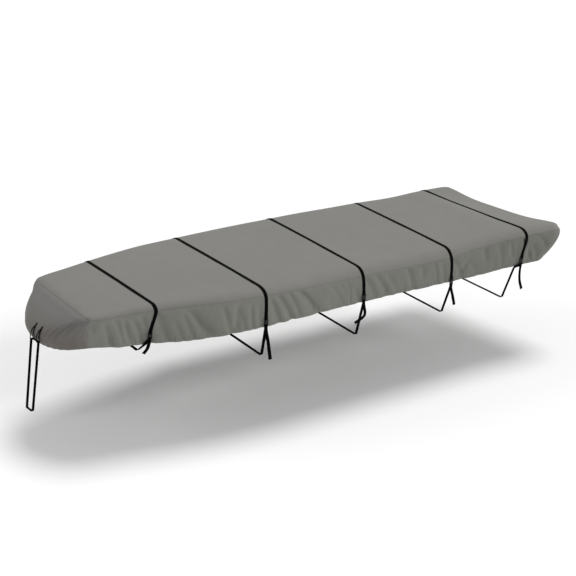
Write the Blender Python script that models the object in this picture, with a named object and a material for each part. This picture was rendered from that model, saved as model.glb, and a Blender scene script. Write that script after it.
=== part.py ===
"""Fitted cover for a square-bowed jon boat, as it lies strapped down over the hull, which is left out.

Metres. +X runs aft, +Y to starboard and +Z up. The origin is under the middle of the deck panel, on its
underside, amidships. The cover is cut as five panels: a deck panel with rounded shoulders, two skirts, a bow
panel and a transom panel. Five webbing straps are sewn over it and buckle to belly straps that run under the
hull. Two loops on the nose carry a strap that ties the bow down.
"""

import math

import bpy
import numpy as np

SHEET = 0.002  # the coated cloth, and its hem
SEAM_GAP = 0.0004
WEBBING = 0.002
STRAP_WIDTH = 0.032
TIE_WIDTH = 0.024
STRAP_LIFT = 0.001  # from the cloth to the strap's underside
HEM_CLEARANCE = 0.002  # from the cloth to a buckle

BOW_X = -2.605  # the ridge between deck and bow panel
STERN_X = 2.365  # the deck's aft edge at the centreline
CROWN = 0.004  # the deck's camber, from the centreline to its edge
BOW_ROUND = {"reach": 0.10, "drop": 0.012, "tilt": 25}
STERN_ROUND = {"reach": 0.09, "drop": 0.030, "tilt": 50}
STERN_SAG = {"depth": 0.052, "half_width": 0.60, "from_x": 1.75}
SKEW = {"amount": 0.125, "from_x": 1.25, "to_x": 2.35}  # the port quarter is hauled further aft

# One row for each section of the deck panel. "list" is how far its starboard edge stands above the mean of
# the two, and "tilt" is the slope at the seam, in degrees.
DECK_COLUMNS = ("x", "crest", "list", "reach", "drop", "tilt")
DECK = (
    (-2.605, -0.030, 0.000, 0.070, 0.022, 50),
    (-2.026, 0.000, 0.000, 0.075, 0.036, 58),
    (-1.036, 0.002, 0.000, 0.140, 0.052, 60),
    (0.000, 0.002, 0.010, 0.115, 0.060, 62),
    (1.036, -0.006, 0.013, 0.115, 0.068, 62),
    (1.450, -0.002, 0.005, 0.115, 0.062, 62),
    (1.952, 0.006, -0.003, 0.110, 0.056, 60),
    (2.365, -0.002, 0.006, 0.100, 0.048, 56),
)

# One row for each place round the port half of the cover, from the bow's middle to the transom's middle.
# The seam is the edge of the deck panel. A wall runs from it to the hem: it sets off "lead" along the deck's
# own slope and comes down to the hem from a point "belly" outboard of it and "lift" above it.
PERIMETER_COLUMNS = ("seam_x", "seam_y", "hem_x", "hem_y", "hem_z", "lead", "belly", "lift")
PERIMETER = {
    "bow middle": (-2.605, 0.000, -2.840, 0.000, -0.401, 0.145, 0.165, 0.150),
    "bow quarter": (-2.605, 0.250, -2.800, 0.225, -0.394, 0.145, 0.165, 0.150),
    "bow side": (-2.605, 0.440, -2.700, 0.350, -0.386, 0.145, 0.147, 0.140),
    "ridge end": (-2.605, 0.530, -2.620, 0.405, -0.376, 0.080, 0.080, 0.135),
    "bow corner": (-2.584, 0.575, -2.562, 0.430, -0.373, 0.060, 0.055, 0.140),
    "bow shoulder": (-2.530, 0.597, -2.500, 0.445, -0.376, 0.055, 0.045, 0.145),
    "foredeck": (-2.300, 0.636, -2.290, 0.490, -0.404, 0.050, 0.030, 0.150),
    "strap 1": (-2.026, 0.692, -2.026, 0.525, -0.416, 0.050, 0.025, 0.150),
    "fore quarter": (-1.780, 0.748, -1.775, 0.630, -0.416, 0.050, 0.020, 0.150),
    "fore side": (-1.440, 0.823, -1.430, 0.765, -0.393, 0.050, 0.012, 0.140),
    "strap 2": (-1.036, 0.862, -1.036, 0.858, -0.354, 0.050, 0.008, 0.120),
    "strap 3": (0.000, 0.866, 0.000, 0.879, -0.329, 0.050, 0.006, 0.120),
    "strap 4": (1.036, 0.845, 1.036, 0.857, -0.346, 0.050, 0.006, 0.120),
    "aft bay": (1.450, 0.820, 1.440, 0.855, -0.348, 0.050, 0.006, 0.120),
    "strap 5": (1.957, 0.838, 1.880, 0.850, -0.344, 0.050, 0.006, 0.120),
    "aft side": (2.160, 0.834, 2.015, 0.850, -0.346, 0.055, 0.020, 0.120),
    "quarter": (2.295, 0.819, 2.085, 0.838, -0.348, 0.065, 0.068, 0.130),
    "stern corner": (2.345, 0.787, 2.125, 0.805, -0.351, 0.075, 0.112, 0.130),
    "transom end": (2.365, 0.730, 2.137, 0.750, -0.356, 0.080, 0.130, 0.130),
    "transom quarter": (2.365, 0.400, 2.143, 0.400, -0.361, 0.080, 0.130, 0.130),
    "transom middle": (2.365, 0.000, 2.143, 0.000, -0.364, 0.080, 0.130, 0.130),
}

# The skirts' main folds are troughs that deepen towards the hem. The columns are a fold's x at the seam and at
# the hem, its half width, its depth and how far down it starts, as a share.
FOLDS = (
    (-2.41, -2.39, 0.045, 0.008, 0.25),
    (-2.24, -2.18, 0.045, 0.010, 0.25),
    (-1.72, -1.52, 0.050, 0.014, 0.10),
    (-1.26, -1.31, 0.050, 0.010, 0.10),
    (-0.86, -0.76, 0.045, 0.010, 0.10),
    (-0.68, -0.47, 0.055, 0.014, 0.05),
    (-0.33, -0.28, 0.045, 0.008, 0.35),
    (0.15, 0.27, 0.045, 0.010, 0.15),
    (0.41, 0.46, 0.060, 0.010, 0.10),
    (0.74, 0.83, 0.045, 0.009, 0.25),
    (1.25, 1.13, 0.045, 0.009, 0.30),
    (1.54, 1.58, 0.060, 0.010, 0.10),
    (1.80, 1.73, 0.045, 0.008, 0.10),
    (2.12, 1.97, 0.045, 0.010, 0.20),
)
STARBOARD_FOLD_SHIFT = 0.14
FOLD_FULL = 0.9  # where a fold is at its deepest, as a share of the way down
STRAP_HOLD = {"share": 0.9, "half_width": 0.05}  # how far a strap keeps the folds away

# The bow panel's folds fan out from the port corner. Their columns are the same, with distances along the seam
# from the bow's middle in place of x.
BOW_FOLDS = (
    (-0.60, -0.22, 0.050, 0.012, 0.10),
    (-0.62, -0.40, 0.050, 0.010, 0.20),
    (0.58, 0.30, 0.055, 0.010, 0.20),
)

# The straps, bow to stern. The columns are where each crosses the centreline, how far its port end lies aft of
# that, how far down the skirt its buckles start, where its belly strap turns under the hull, and two points
# that its free tails hang through.
STRAPS = (
    (-2.044, 0.018, 0.740, (-2.086, 0.420, -0.504), ((-2.045, 0.528, -0.461), (-2.070, 0.505, -0.508))),
    (-1.051, 0.015, 0.800, (-1.035, 0.780, -0.658), ((-1.030, 0.890, -0.496), (-1.018, 0.905, -0.656))),
    (0.000, 0.000, 0.785, (0.000, 0.770, -0.692), ((0.000, 0.905, -0.446), (-0.110, 0.910, -0.504))),
    (1.036, 0.000, 0.905, (1.030, 0.740, -0.696), ((1.034, 0.893, -0.466), (1.052, 0.905, -0.568))),
    (1.952, -0.040, 0.800, (1.790, 0.740, -0.702), ((1.880, 0.890, -0.496), (1.905, 0.895, -0.581))),
)

BUCKLE = {"length": 0.060, "width": 0.041, "thickness": 0.009, "corner": 0.005}
LEG_DEPTH = 0.0025  # from the buckle's inner face to the middle of the belly strap's end
TAIL_DEPTH = 0.0070  # and to the middle of the free tail
TAIL_START = 0.020  # how far a free tail runs straight on from its buckle
TAIL_PITCH = 0.022
END_GAP = 0.002  # between a buckle and the webbing that enters it
CHINE_GAP = 0.002
HEM_TURN = {"lift": 0.0045, "drop": 0.004, "share": 0.7}  # where a leg from a high buckle passes the hem

LOOP_RUNS = {"port": -0.160, "starboard": -0.050}  # the nose loops' places along the seam
LOOP_SEAT = (0.58, 0.63, 0.68)  # where a loop's inner layer lies on the bow panel
LOOP_EYE = 0.84  # and where its eye hangs, the same way down
LOOP_WIDTH = 0.018
LOOP_RADIUS = 0.0160
LOOP_RISE = ((0.72, 0.020), (0.645, 0.010), (0.58, 0.0026))  # how far its outer layer stands off that
EYE_TURNS = (250, 285, 320, 355, 30, 65, 95, 120)  # degrees
TIE_SPARE = 0.0135  # the bow tie's reach past the loops' middles
TIE_FEET = ((-2.998, -0.045, -0.978), (-2.988, -0.155, -0.978))  # where it turns under the trailer's tongue
TIE_CORNER = 0.014

STRAP_FALLS = (0.18, 0.42, 0.68)
PITCH = 0.062
DECK_RUNS = (0.0, 0.36, 0.70, 1.0, 1.35, 1.62, 1.84, 2.0)
WALL_FALLS = (0.003, 0.18, 0.42, 0.68, 0.88, 1.0)
STEP = 1e-4  # for slopes


def unit(vectors):
    vectors = np.asarray(vectors, float)
    return vectors / np.linalg.norm(vectors, axis=-1, keepdims=True)


def curve(nodes, values):
    """A smooth curve through the values at those nodes, as a function."""
    nodes, values = np.asarray(nodes, float), np.asarray(values, float)
    slopes = np.gradient(values, nodes)

    def at(place):
        place = np.asarray(place, float)
        i = np.clip(np.searchsorted(nodes, place) - 1, 0, len(nodes) - 2)
        span = nodes[i + 1] - nodes[i]
        t = np.clip((place - nodes[i]) / span, 0, 1)
        return (
            values[i] * (1 + 2 * t) * (1 - t) ** 2
            + values[i + 1] * t**2 * (3 - 2 * t)
            + span * t * (1 - t) * (slopes[i] * (1 - t) - slopes[i + 1] * t)
        )

    return at


def ease(value, start, end):
    """0 before start, 1 after end, and smooth between."""
    t = np.clip((value - start) / (end - start), 0, 1)
    return t * t * (3 - 2 * t)


def table(columns, rows, nodes):
    """A smooth curve for each named column."""
    return {name: curve(nodes, [row[i] for row in rows]) for i, name in enumerate(columns)}


def perimeter_curves():
    """The perimeter's columns by distance along the seam, mirrored past both ends so that they run level."""
    rows = [np.array(row) for row in PERIMETER.values()]
    seam = np.array([row[:2] for row in rows])
    runs = np.concatenate([[0], np.cumsum(np.linalg.norm(np.diff(seam, axis=0), axis=1))])
    mirror = np.array([-1 if name.endswith("_y") else 1 for name in PERIMETER_COLUMNS])
    nodes = [-runs[1], *runs, 2 * runs[-1] - runs[-2]]
    rows = [rows[1] * mirror, *rows, rows[-2] * mirror]
    return table(PERIMETER_COLUMNS, rows, nodes), dict(zip(PERIMETER, runs))


deck_at = table(DECK_COLUMNS, DECK, [row[0] for row in DECK])
round_at, RUN = perimeter_curves()
SIDE_RUNS = np.linspace(RUN["ridge end"], RUN["transom end"], 2000)
SIDE_XS = round_at["seam_x"](SIDE_RUNS)


def run_at(x):
    """Distance along the seam, from the bow's middle to the place on a side with that x."""
    return np.interp(x, SIDE_XS, SIDE_RUNS)


def rounding(distance, reach, drop, tilt):
    """How far a rounded edge has fallen at a distance from its end, where it slopes at tilt degrees."""
    bend = np.minimum(drop / np.tan(np.radians(tilt)), 0.45 * reach)
    inward = np.clip(distance, 0, reach)
    root = np.sqrt((reach - bend) ** 2 - (reach - 2 * bend) * (reach - inward))
    t = (reach - bend - root) / (reach - 2 * bend)
    return drop * t * t


def deck_height(x, y, half):
    """The deck panel's upper face, where half is half its breadth there."""
    side = rounding(half - abs(y), deck_at["reach"](x), deck_at["drop"](x), deck_at["tilt"](x))
    end = rounding(x - BOW_X, **BOW_ROUND) + rounding(STERN_X - x, **STERN_ROUND)
    sag = STERN_SAG["depth"] * ease(x, STERN_SAG["from_x"], STERN_X)
    sag = sag * np.exp(-((y / STERN_SAG["half_width"]) ** 4))
    crest = deck_at["crest"](x) + deck_at["list"](x) * y / half
    return crest - CROWN * (y / half) ** 2 - (side**3 + end**3) ** (1 / 3) - sag


def skewed(x, y, z):
    """The point with the stern's skew."""
    shift = SKEW["amount"] * ease(x, SKEW["from_x"], SKEW["to_x"])
    return np.stack(np.broadcast_arrays(x - shift * y, y, z), axis=-1)


def breadths(x, half):
    """The deck panel's rows at one of its ends, as distances from the centreline."""
    reach = deck_at["reach"](x)
    rows = np.array(DECK_RUNS)
    return np.where(rows < 1, (half - reach) * rows, half - reach * (2 - rows))


def deck(run, across):
    """A point on the deck panel. run is the distance along the seam to its column. across is 0 at the
    centreline, 1 where a shoulder starts and 2 at its seam, and below 0 to port."""
    x, half = round_at["seam_x"](run), round_at["seam_y"](run)
    reach = deck_at["reach"](x)
    part = np.abs(across)
    y = np.where(part < 1, (half - reach) * part, half - reach * (2 - part)) * np.sign(across)
    return skewed(x, y, deck_height(x, y, half))


def outward(run):
    """The seam's normal in plan, on the starboard side."""
    dx = round_at["seam_x"](run + STEP) - round_at["seam_x"](run - STEP)
    dy = round_at["seam_y"](run + STEP) - round_at["seam_y"](run - STEP)
    return unit(np.stack([-dy, dx], axis=-1))


def trough(run, fall, top, bottom, half_width, depth, start):
    middle = top + (bottom - top) * fall
    return depth * ease(fall, start, FOLD_FULL) * np.exp(-(((run - middle) / half_width) ** 2))


def hollow(run, fall, side):
    """How far the folds draw the wall in."""
    depth = np.zeros(np.broadcast(run, fall).shape)
    for top, bottom, *rest in FOLDS:
        shift = np.where(side > 0, STARBOARD_FOLD_SHIFT, 0)
        depth += trough(run, fall, run_at(top + shift), run_at(bottom + shift), *rest)
    for x, *_ in STRAPS:
        away = (run - run_at(x)) / STRAP_HOLD["half_width"]
        depth *= 1 - STRAP_HOLD["share"] * np.exp(-(away**2))
    for top, bottom, *rest in BOW_FOLDS:
        depth += trough(run * side, fall, top, bottom, *rest)
    return depth


def wall(run, fall):
    """A point on the skirts, the bow panel or the transom panel. run is the distance along the seam from the
    bow's middle, below 0 to port. fall is 0 at the seam and 1 at the hem."""
    run, fall = np.broadcast_arrays(np.asarray(run, float), np.asarray(fall, float))
    side = np.where(run < 0, -1, 1)
    run = np.abs(run)
    value = {name: column(run) for name, column in round_at.items()}
    x, y = np.clip(value["seam_x"], BOW_X, STERN_X), value["seam_y"]  # its curve swings a little past them
    out = outward(run)
    half = np.where(run < RUN["ridge end"], PERIMETER["ridge end"][1], y)
    half = np.where(run > RUN["transom end"], PERIMETER["transom end"][1], half)
    seam_z = deck_height(x, y * side, half)
    inner_z = deck_height(x - STEP * out[..., 0], (y - STEP * out[..., 1]) * side, half)
    slope = unit(np.stack([out[..., 0], out[..., 1], (seam_z - inner_z) / STEP], axis=-1))
    seam = np.stack([x, y, seam_z], axis=-1)
    hem = np.stack([value["hem_x"], value["hem_y"], value["hem_z"]], axis=-1)
    leaving = seam + value["lead"][..., None] * slope
    up = np.stack([out[..., 0] * value["belly"], out[..., 1] * value["belly"], value["lift"]], axis=-1)
    t = fall[..., None]
    point = (
        seam * (1 - t) ** 3
        + 3 * leaving * t * (1 - t) ** 2
        + 3 * (hem + up) * t**2 * (1 - t)
        + hem * t**3
    )
    drawn = hollow(run, fall, side)
    return skewed(
        point[..., 0] - drawn * out[..., 0],
        (point[..., 1] - drawn * out[..., 1]) * side,
        point[..., 2],
    )


def normals(surface, first, second):
    """Unit normals of a surface, upwards or outwards, at those coordinates."""
    along = surface(first + STEP, second) - surface(first - STEP, second)
    side = np.where(second < 0, -1, 1)
    across = surface(first, second) - surface(first, second - STEP * side)
    return unit(np.cross(along, across * side[..., None]))


def material(name, colour, roughness):
    made = bpy.data.materials.new(name)
    made.use_nodes = True
    shader = made.node_tree.nodes["Principled BSDF"]
    shader.inputs["Base Color"].default_value = (*colour, 1)
    shader.inputs["Roughness"].default_value = roughness
    return made


def solid(name, points, faces, finish):
    """An object from points and faces, turned so that its faces point out."""
    points = np.asarray(points, float).reshape(-1, 3)
    mesh = bpy.data.meshes.new(name)
    volume = 0.0
    for face in faces:
        corners = points[list(face)]
        for second, third in zip(corners[1:], corners[2:]):
            volume += np.dot(corners[0], np.cross(second, third))
    if volume < 0:
        faces = [tuple(reversed(face)) for face in faces]
    mesh.from_pydata(points.tolist(), [], faces)
    mesh.materials.append(finish)
    made = bpy.data.objects.new(name, mesh)
    bpy.context.scene.collection.objects.link(made)
    mesh.shade_smooth()
    mesh.set_sharp_from_angle(angle=math.radians(35))
    return made


def sheet(name, surface, first, second, finish):
    """A panel of cloth: the surface on a grid of first and second coordinates, SHEET thick."""
    first, second = np.meshgrid(first, second, indexing="ij")
    outer = surface(first, second)
    inner = outer - normals(surface, first, second) * SHEET
    columns, rows = first.shape
    number = np.arange(2 * columns * rows).reshape(2, columns, rows)
    faces = []
    for i in range(columns - 1):
        for j in range(rows - 1):
            corner = number[:, i : i + 2, j : j + 2]
            faces.append(tuple(corner[0][[0, 1, 1, 0], [0, 0, 1, 1]]))
            faces.append(tuple(corner[1][[0, 0, 1, 1], [0, 1, 1, 0]]))
    rim = [(i, 0) for i in range(columns)] + [(columns - 1, j) for j in range(1, rows)]
    rim += [(i, rows - 1) for i in range(columns - 2, -1, -1)] + [(0, j) for j in range(rows - 2, 0, -1)]
    for here, there in zip(rim, rim[1:] + rim[:1]):
        faces.append((number[0][there], number[0][here], number[1][here], number[1][there]))
    return solid(name, np.concatenate([outer.reshape(-1, 3), inner.reshape(-1, 3)]), faces, finish)


def ribbon(name, path, across, width, finish, closed=False):
    """Flat webbing along a path. across holds the direction of its breadth at each point."""
    path = np.asarray(path, float)
    across = np.broadcast_to(np.asarray(across, float), path.shape)
    if closed:
        tangent = np.roll(path, -1, axis=0) - np.roll(path, 1, axis=0)
    else:
        tangent = np.gradient(path, axis=0)
    normal = unit(np.cross(across, tangent))
    corners = [
        path + sign_across * across * width / 2 + sign_normal * normal * WEBBING / 2
        for sign_across, sign_normal in ((-1, -1), (1, -1), (1, 1), (-1, 1))
    ]
    points = np.stack(corners, axis=1)
    count = len(path)
    faces = []
    for i in range(count if closed else count - 1):
        here, there = 4 * i, 4 * ((i + 1) % count)
        for j in range(4):
            k = (j + 1) % 4
            faces.append((here + j, here + k, there + k, there + j))
    if not closed:
        faces.append((3, 2, 1, 0))
        faces.append(tuple(4 * (count - 1) + j for j in range(4)))
    return solid(name, points, faces, finish)


def spaced(start, end, pitch, also=()):
    """Values from start to end, about pitch apart, with the others in place of those near them."""
    even = np.linspace(start, end, round((end - start) / pitch) + 1)
    also = [value for value in also if start < value < end]
    kept = [v for v in even[1:-1] if all(abs(v - other) > 0.4 * pitch for other in also)]
    return np.array(sorted([start, end, *kept, *also]))


def strap_edges():
    """The columns along both edges of each strap, on both sides."""
    middles = [x + shift for x, aft, *_ in STRAPS for shift in {aft, -aft}]
    return [run_at(x + edge * STRAP_WIDTH / 2) for x in middles for edge in (-1, 1)]


def add_panels(cloth):
    corners = [RUN[name] for name in ("bow corner", "bow shoulder", "quarter", "stern corner")]
    columns = spaced(RUN["ridge end"], RUN["transom end"], PITCH, corners + strap_edges())
    across = np.array([-r for r in DECK_RUNS[:0:-1]] + list(DECK_RUNS))
    sheet("deck_panel", deck, columns, across, cloth)

    start, end = RUN["bow corner"], RUN["stern corner"]
    columns = columns[(columns >= start) & (columns <= end)]
    columns[[0, -1]] += (SEAM_GAP, -SEAM_GAP)
    falls = np.array(WALL_FALLS)
    sheet("skirt_port", wall, -columns[::-1], falls, cloth)
    sheet("skirt_starboard", wall, columns, falls, cloth)
    ridge = breadths(BOW_X, RUN["ridge end"])
    columns = spaced(-start, start, PITCH, [*-ridge, *ridge])
    sheet("bow_panel", wall, columns, falls, cloth)

    def transom(run, fall):
        """run is 0 in the transom's middle, and below 0 to starboard."""
        return wall(np.where(run < 0, 1, -1) * (RUN["transom middle"] - np.abs(run)), fall)

    edge = breadths(STERN_X, RUN["transom middle"] - RUN["transom end"])
    edge = np.append(edge, RUN["transom middle"] - end)
    sheet("transom_panel", transom, np.array([*-edge[:0:-1], *edge]), falls, cloth)


def buckle_frame(run, start):
    """The place of a buckle that starts that far down a skirt, at that distance along the seam: its lower
    end, on its inner face, and the directions along the hem, out of the cloth and down it."""
    cloth = wall(run, np.linspace(start, 1, 9))
    down = unit(cloth[-1] - cloth[0])
    along = (wall(run + STEP, 1) - wall(run - STEP, 1)) * np.sign(run)
    along = unit(along - np.dot(along, down) * down)
    facing = np.cross(along, down) * np.sign(run)
    beside = run + np.linspace(-1, 1, 7)[:, None] * BUCKLE["width"]
    behind = wall(beside, np.linspace(start, 1, 9)) - cloth[0]
    depth = HEM_CLEARANCE + np.max(behind @ facing)
    return cloth[0] + BUCKLE["length"] * down + depth * facing, along, facing, down


def prism(name, outline, origin, along, facing, down, depths, finish):
    """A flat plate. Its outline is in distances down and along, and depths are along facing."""
    flat = [origin + a * down + b * along for a, b in outline]
    points = [point + depth * facing for depth in depths for point in flat]
    count = len(flat)
    faces = [tuple(range(count)), tuple(range(2 * count - 1, count - 1, -1))]
    for i in range(count):
        j = (i + 1) % count
        faces.append((j, i, count + i, count + j))
    return solid(name, points, faces, finish)


def rounded(points, pitch):
    """A smooth curve through the points, with a point about every pitch."""
    points = np.asarray(points, float)
    along = np.concatenate([[0], np.cumsum(np.linalg.norm(np.diff(points, axis=0), axis=1))])
    at = np.linspace(0, along[-1], round(along[-1] / pitch) + 1)
    return np.stack([curve(along, points[:, axis])(at) for axis in range(3)], axis=1)


def add_over_strap(name, x, port_aft, buckle, webbing):
    """The strap that is sewn over the deck panel, from its port buckle to its starboard one."""
    lift = STRAP_LIFT + WEBBING / 2
    path, across = [], []
    for side, shift in ((-1, port_aft), (1, -port_aft)):
        run = side * run_at(x + shift)
        falls = np.array(STRAP_FALLS)
        down = wall(run, falls) + normals(wall, np.full(len(falls), run), falls) * lift
        end, along, facing, drop = buckle_frame(run, buckle)
        end = end - (BUCKLE["length"] + END_GAP) * drop + BUCKLE["thickness"] / 2 * facing
        path.append(np.concatenate([down, [end]]))
        edge = unit(wall(run + STEP, falls) - wall(run, falls)) * side
        across.append(np.concatenate([edge, [along]]))
    rows = np.array([-r for r in DECK_RUNS[:0:-1]] + list(DECK_RUNS))
    run = run_at(x - port_aft * np.clip(rows, -1, 1))
    over = deck(run, rows) + normals(deck, run, rows) * lift
    along = unit(deck(run + STEP, rows) - deck(run, rows))
    path = np.concatenate([path[0][::-1], over, path[1]])
    across = np.concatenate([across[0][::-1], along, across[1]])
    ribbon(name, path, across, STRAP_WIDTH, webbing)


def add_belly_strap(number, x, port_aft, buckle, chine, tail, webbing, plastic):
    """The two buckles, and the strap between them that runs under the hull, in three straight stretches and
    with a free tail at each buckle."""
    chine, tail = np.array(chine), np.array(tail)
    for side, word, shift in ((-1, "port", port_aft), (1, "starboard", -port_aft)):
        foot, along, facing, down = buckle_frame(side * run_at(x + shift), buckle)
        length, wide, cut = BUCKLE["length"], BUCKLE["width"] / 2, BUCKLE["corner"]
        half = [(-length, wide - cut), (cut - length, wide), (-cut, wide), (0, wide - cut)]
        outline = half + [(a, -b) for a, b in reversed(half)]
        depths = (0, BUCKLE["thickness"])
        prism(f"buckle_{number}_{word}", outline, foot, along, facing, down, depths, plastic)

        mirror = np.array([1, side, 1])
        top = foot + END_GAP * down
        path = [top + LEG_DEPTH * facing, chine * mirror + (0, 0, CHINE_GAP)]
        turn_x = x + shift + (chine[0] - x - shift) * HEM_TURN["share"]
        turn = wall(side * run_at(turn_x), 1) + HEM_TURN["lift"] * facing + HEM_TURN["drop"] * down
        if np.dot(turn - path[0], down) > HEM_TURN["drop"]:
            path.insert(1, turn)
        breadths = [along] * (len(path) - 1) + [(1, 0, 0)]
        ribbon(f"belly_{number}_leg_{word}", path, breadths, STRAP_WIDTH, webbing)

        tail_top = top + TAIL_DEPTH * facing
        path = rounded([tail_top, tail_top + TAIL_START * down, *(tail * mirror)], TAIL_PITCH)
        drawn = unit(np.cross(np.gradient(path, axis=0), facing)) * side
        drawn[0] = along
        ribbon(f"belly_{number}_tail_{word}", path, drawn, STRAP_WIDTH, webbing)
    ends = [chine * (1, side, 1) + (0, side * CHINE_GAP, -WEBBING / 2) for side in (-1, 1)]
    ribbon(f"belly_{number}_run", ends, (1, 0, 0), STRAP_WIDTH, webbing)


def add_nose_loop(name, run, webbing):
    """A drop-shaped loop of webbing on the bow panel: its inner layer lies on the cloth and turns round an eye,
    and its outer one runs back up from there. Returns the eye's middle."""
    lift = HEM_CLEARANCE + WEBBING / 2

    def off_panel(falls, distances):
        return wall(run, falls) + normals(wall, np.full(len(falls), run), falls) * (lift + distances)[:, None]

    falls = np.array([*LOOP_SEAT, LOOP_EYE])
    near = off_panel(falls, np.zeros(len(falls)))
    far = off_panel(*np.array(LOOP_RISE).T)
    facing = normals(wall, np.array([run]), np.array([LOOP_EYE]))[0]
    out = unit(facing * (1, 0, 1))
    down = np.array([-out[2], 0, out[0]])
    eye = near[-1] + out * (LOOP_RADIUS + END_GAP)
    turns = np.radians(EYE_TURNS)[:, None]
    ring = eye + LOOP_RADIUS * (np.cos(turns) * down + np.sin(turns) * out)
    path = np.concatenate([near[:-1], ring, far])
    ribbon(name, path, (0, 1, 0), LOOP_WIDTH, webbing)
    return eye


def add_bow_tie(port_eye, starboard_eye, webbing):
    """The strap that runs through both nose loops and down under the trailer's tongue, as one band."""
    spare = np.array([0, TIE_SPARE, 0])
    corners = np.array([port_eye - spare, starboard_eye + spare, *TIE_FEET])
    path = []
    for before, corner, after in zip(np.roll(corners, 1, axis=0), corners, np.roll(corners, -1, axis=0)):
        back, on = unit(before - corner) * TIE_CORNER, unit(after - corner) * TIE_CORNER
        path += [corner + back * (1 - t) ** 2 + on * t**2 for t in (0, 0.33, 0.67, 1)]
    ribbon("bow_tie", path, (1, 0, 0), TIE_WIDTH, webbing, closed=True)


def main():
    for old in list(bpy.data.objects):
        bpy.data.objects.remove(old)
    cloth = material("cover cloth", (0.235, 0.230, 0.214), 0.85)
    webbing = material("black webbing", (0.010, 0.010, 0.011), 0.70)
    plastic = material("black acetal", (0.012, 0.012, 0.013), 0.40)
    add_panels(cloth)
    for number, (x, port_aft, buckle, chine, tail) in enumerate(STRAPS, 1):
        add_over_strap(f"over_strap_{number}", x, port_aft, buckle, webbing)
        add_belly_strap(number, x, port_aft, buckle, chine, tail, webbing, plastic)
    eyes = [add_nose_loop(f"nose_loop_{word}", run, webbing) for word, run in LOOP_RUNS.items()]
    add_bow_tie(*eyes, webbing)


main()
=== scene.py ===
import math

import bmesh
import bpy
import numpy as np
from mathutils import Matrix, Vector


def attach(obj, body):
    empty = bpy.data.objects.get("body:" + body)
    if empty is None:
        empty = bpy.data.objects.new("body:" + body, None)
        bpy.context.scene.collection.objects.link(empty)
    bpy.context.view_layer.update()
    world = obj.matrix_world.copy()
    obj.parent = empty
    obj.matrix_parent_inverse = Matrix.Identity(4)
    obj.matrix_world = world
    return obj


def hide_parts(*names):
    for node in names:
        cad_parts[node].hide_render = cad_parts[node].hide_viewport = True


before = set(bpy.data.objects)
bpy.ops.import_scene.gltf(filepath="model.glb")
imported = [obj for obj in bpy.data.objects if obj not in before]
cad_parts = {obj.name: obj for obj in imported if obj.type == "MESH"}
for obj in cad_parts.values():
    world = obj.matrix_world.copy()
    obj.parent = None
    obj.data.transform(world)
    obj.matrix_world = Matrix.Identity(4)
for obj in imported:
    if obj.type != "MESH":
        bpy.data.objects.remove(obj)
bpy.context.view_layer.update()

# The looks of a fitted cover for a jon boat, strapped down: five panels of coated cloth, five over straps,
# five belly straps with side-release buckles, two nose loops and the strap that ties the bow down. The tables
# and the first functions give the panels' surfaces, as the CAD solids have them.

WEBBING = 0.002
STRAP_WIDTH = 0.032
TIE_WIDTH = 0.024
STRAP_LIFT = 0.001  # from the cloth to the strap's underside
HEM_CLEARANCE = 0.002  # from the cloth to a buckle

BOW_X = -2.605  # the ridge between deck and bow panel
STERN_X = 2.365  # the deck's aft edge at the centreline
CROWN = 0.004  # the deck's camber, from the centreline to its edge
BOW_ROUND = {"reach": 0.10, "drop": 0.012, "tilt": 25}
STERN_ROUND = {"reach": 0.09, "drop": 0.030, "tilt": 50}
STERN_SAG = {"depth": 0.052, "half_width": 0.60, "from_x": 1.75}
SKEW = {"amount": 0.125, "from_x": 1.25, "to_x": 2.35}  # the port quarter is hauled further aft

# One row for each section of the deck panel. "list" is how far its starboard edge stands above the mean of
# the two, and "tilt" is the slope at the seam, in degrees.
DECK_COLUMNS = ("x", "crest", "list", "reach", "drop", "tilt")
DECK = (
    (-2.605, -0.030, 0.000, 0.070, 0.022, 50),
    (-2.026, 0.000, 0.000, 0.075, 0.036, 58),
    (-1.036, 0.002, 0.000, 0.140, 0.052, 60),
    (0.000, 0.002, 0.010, 0.115, 0.060, 62),
    (1.036, -0.006, 0.013, 0.115, 0.068, 62),
    (1.450, -0.002, 0.005, 0.115, 0.062, 62),
    (1.952, 0.006, -0.003, 0.110, 0.056, 60),
    (2.365, -0.002, 0.006, 0.100, 0.048, 56),
)

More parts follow.
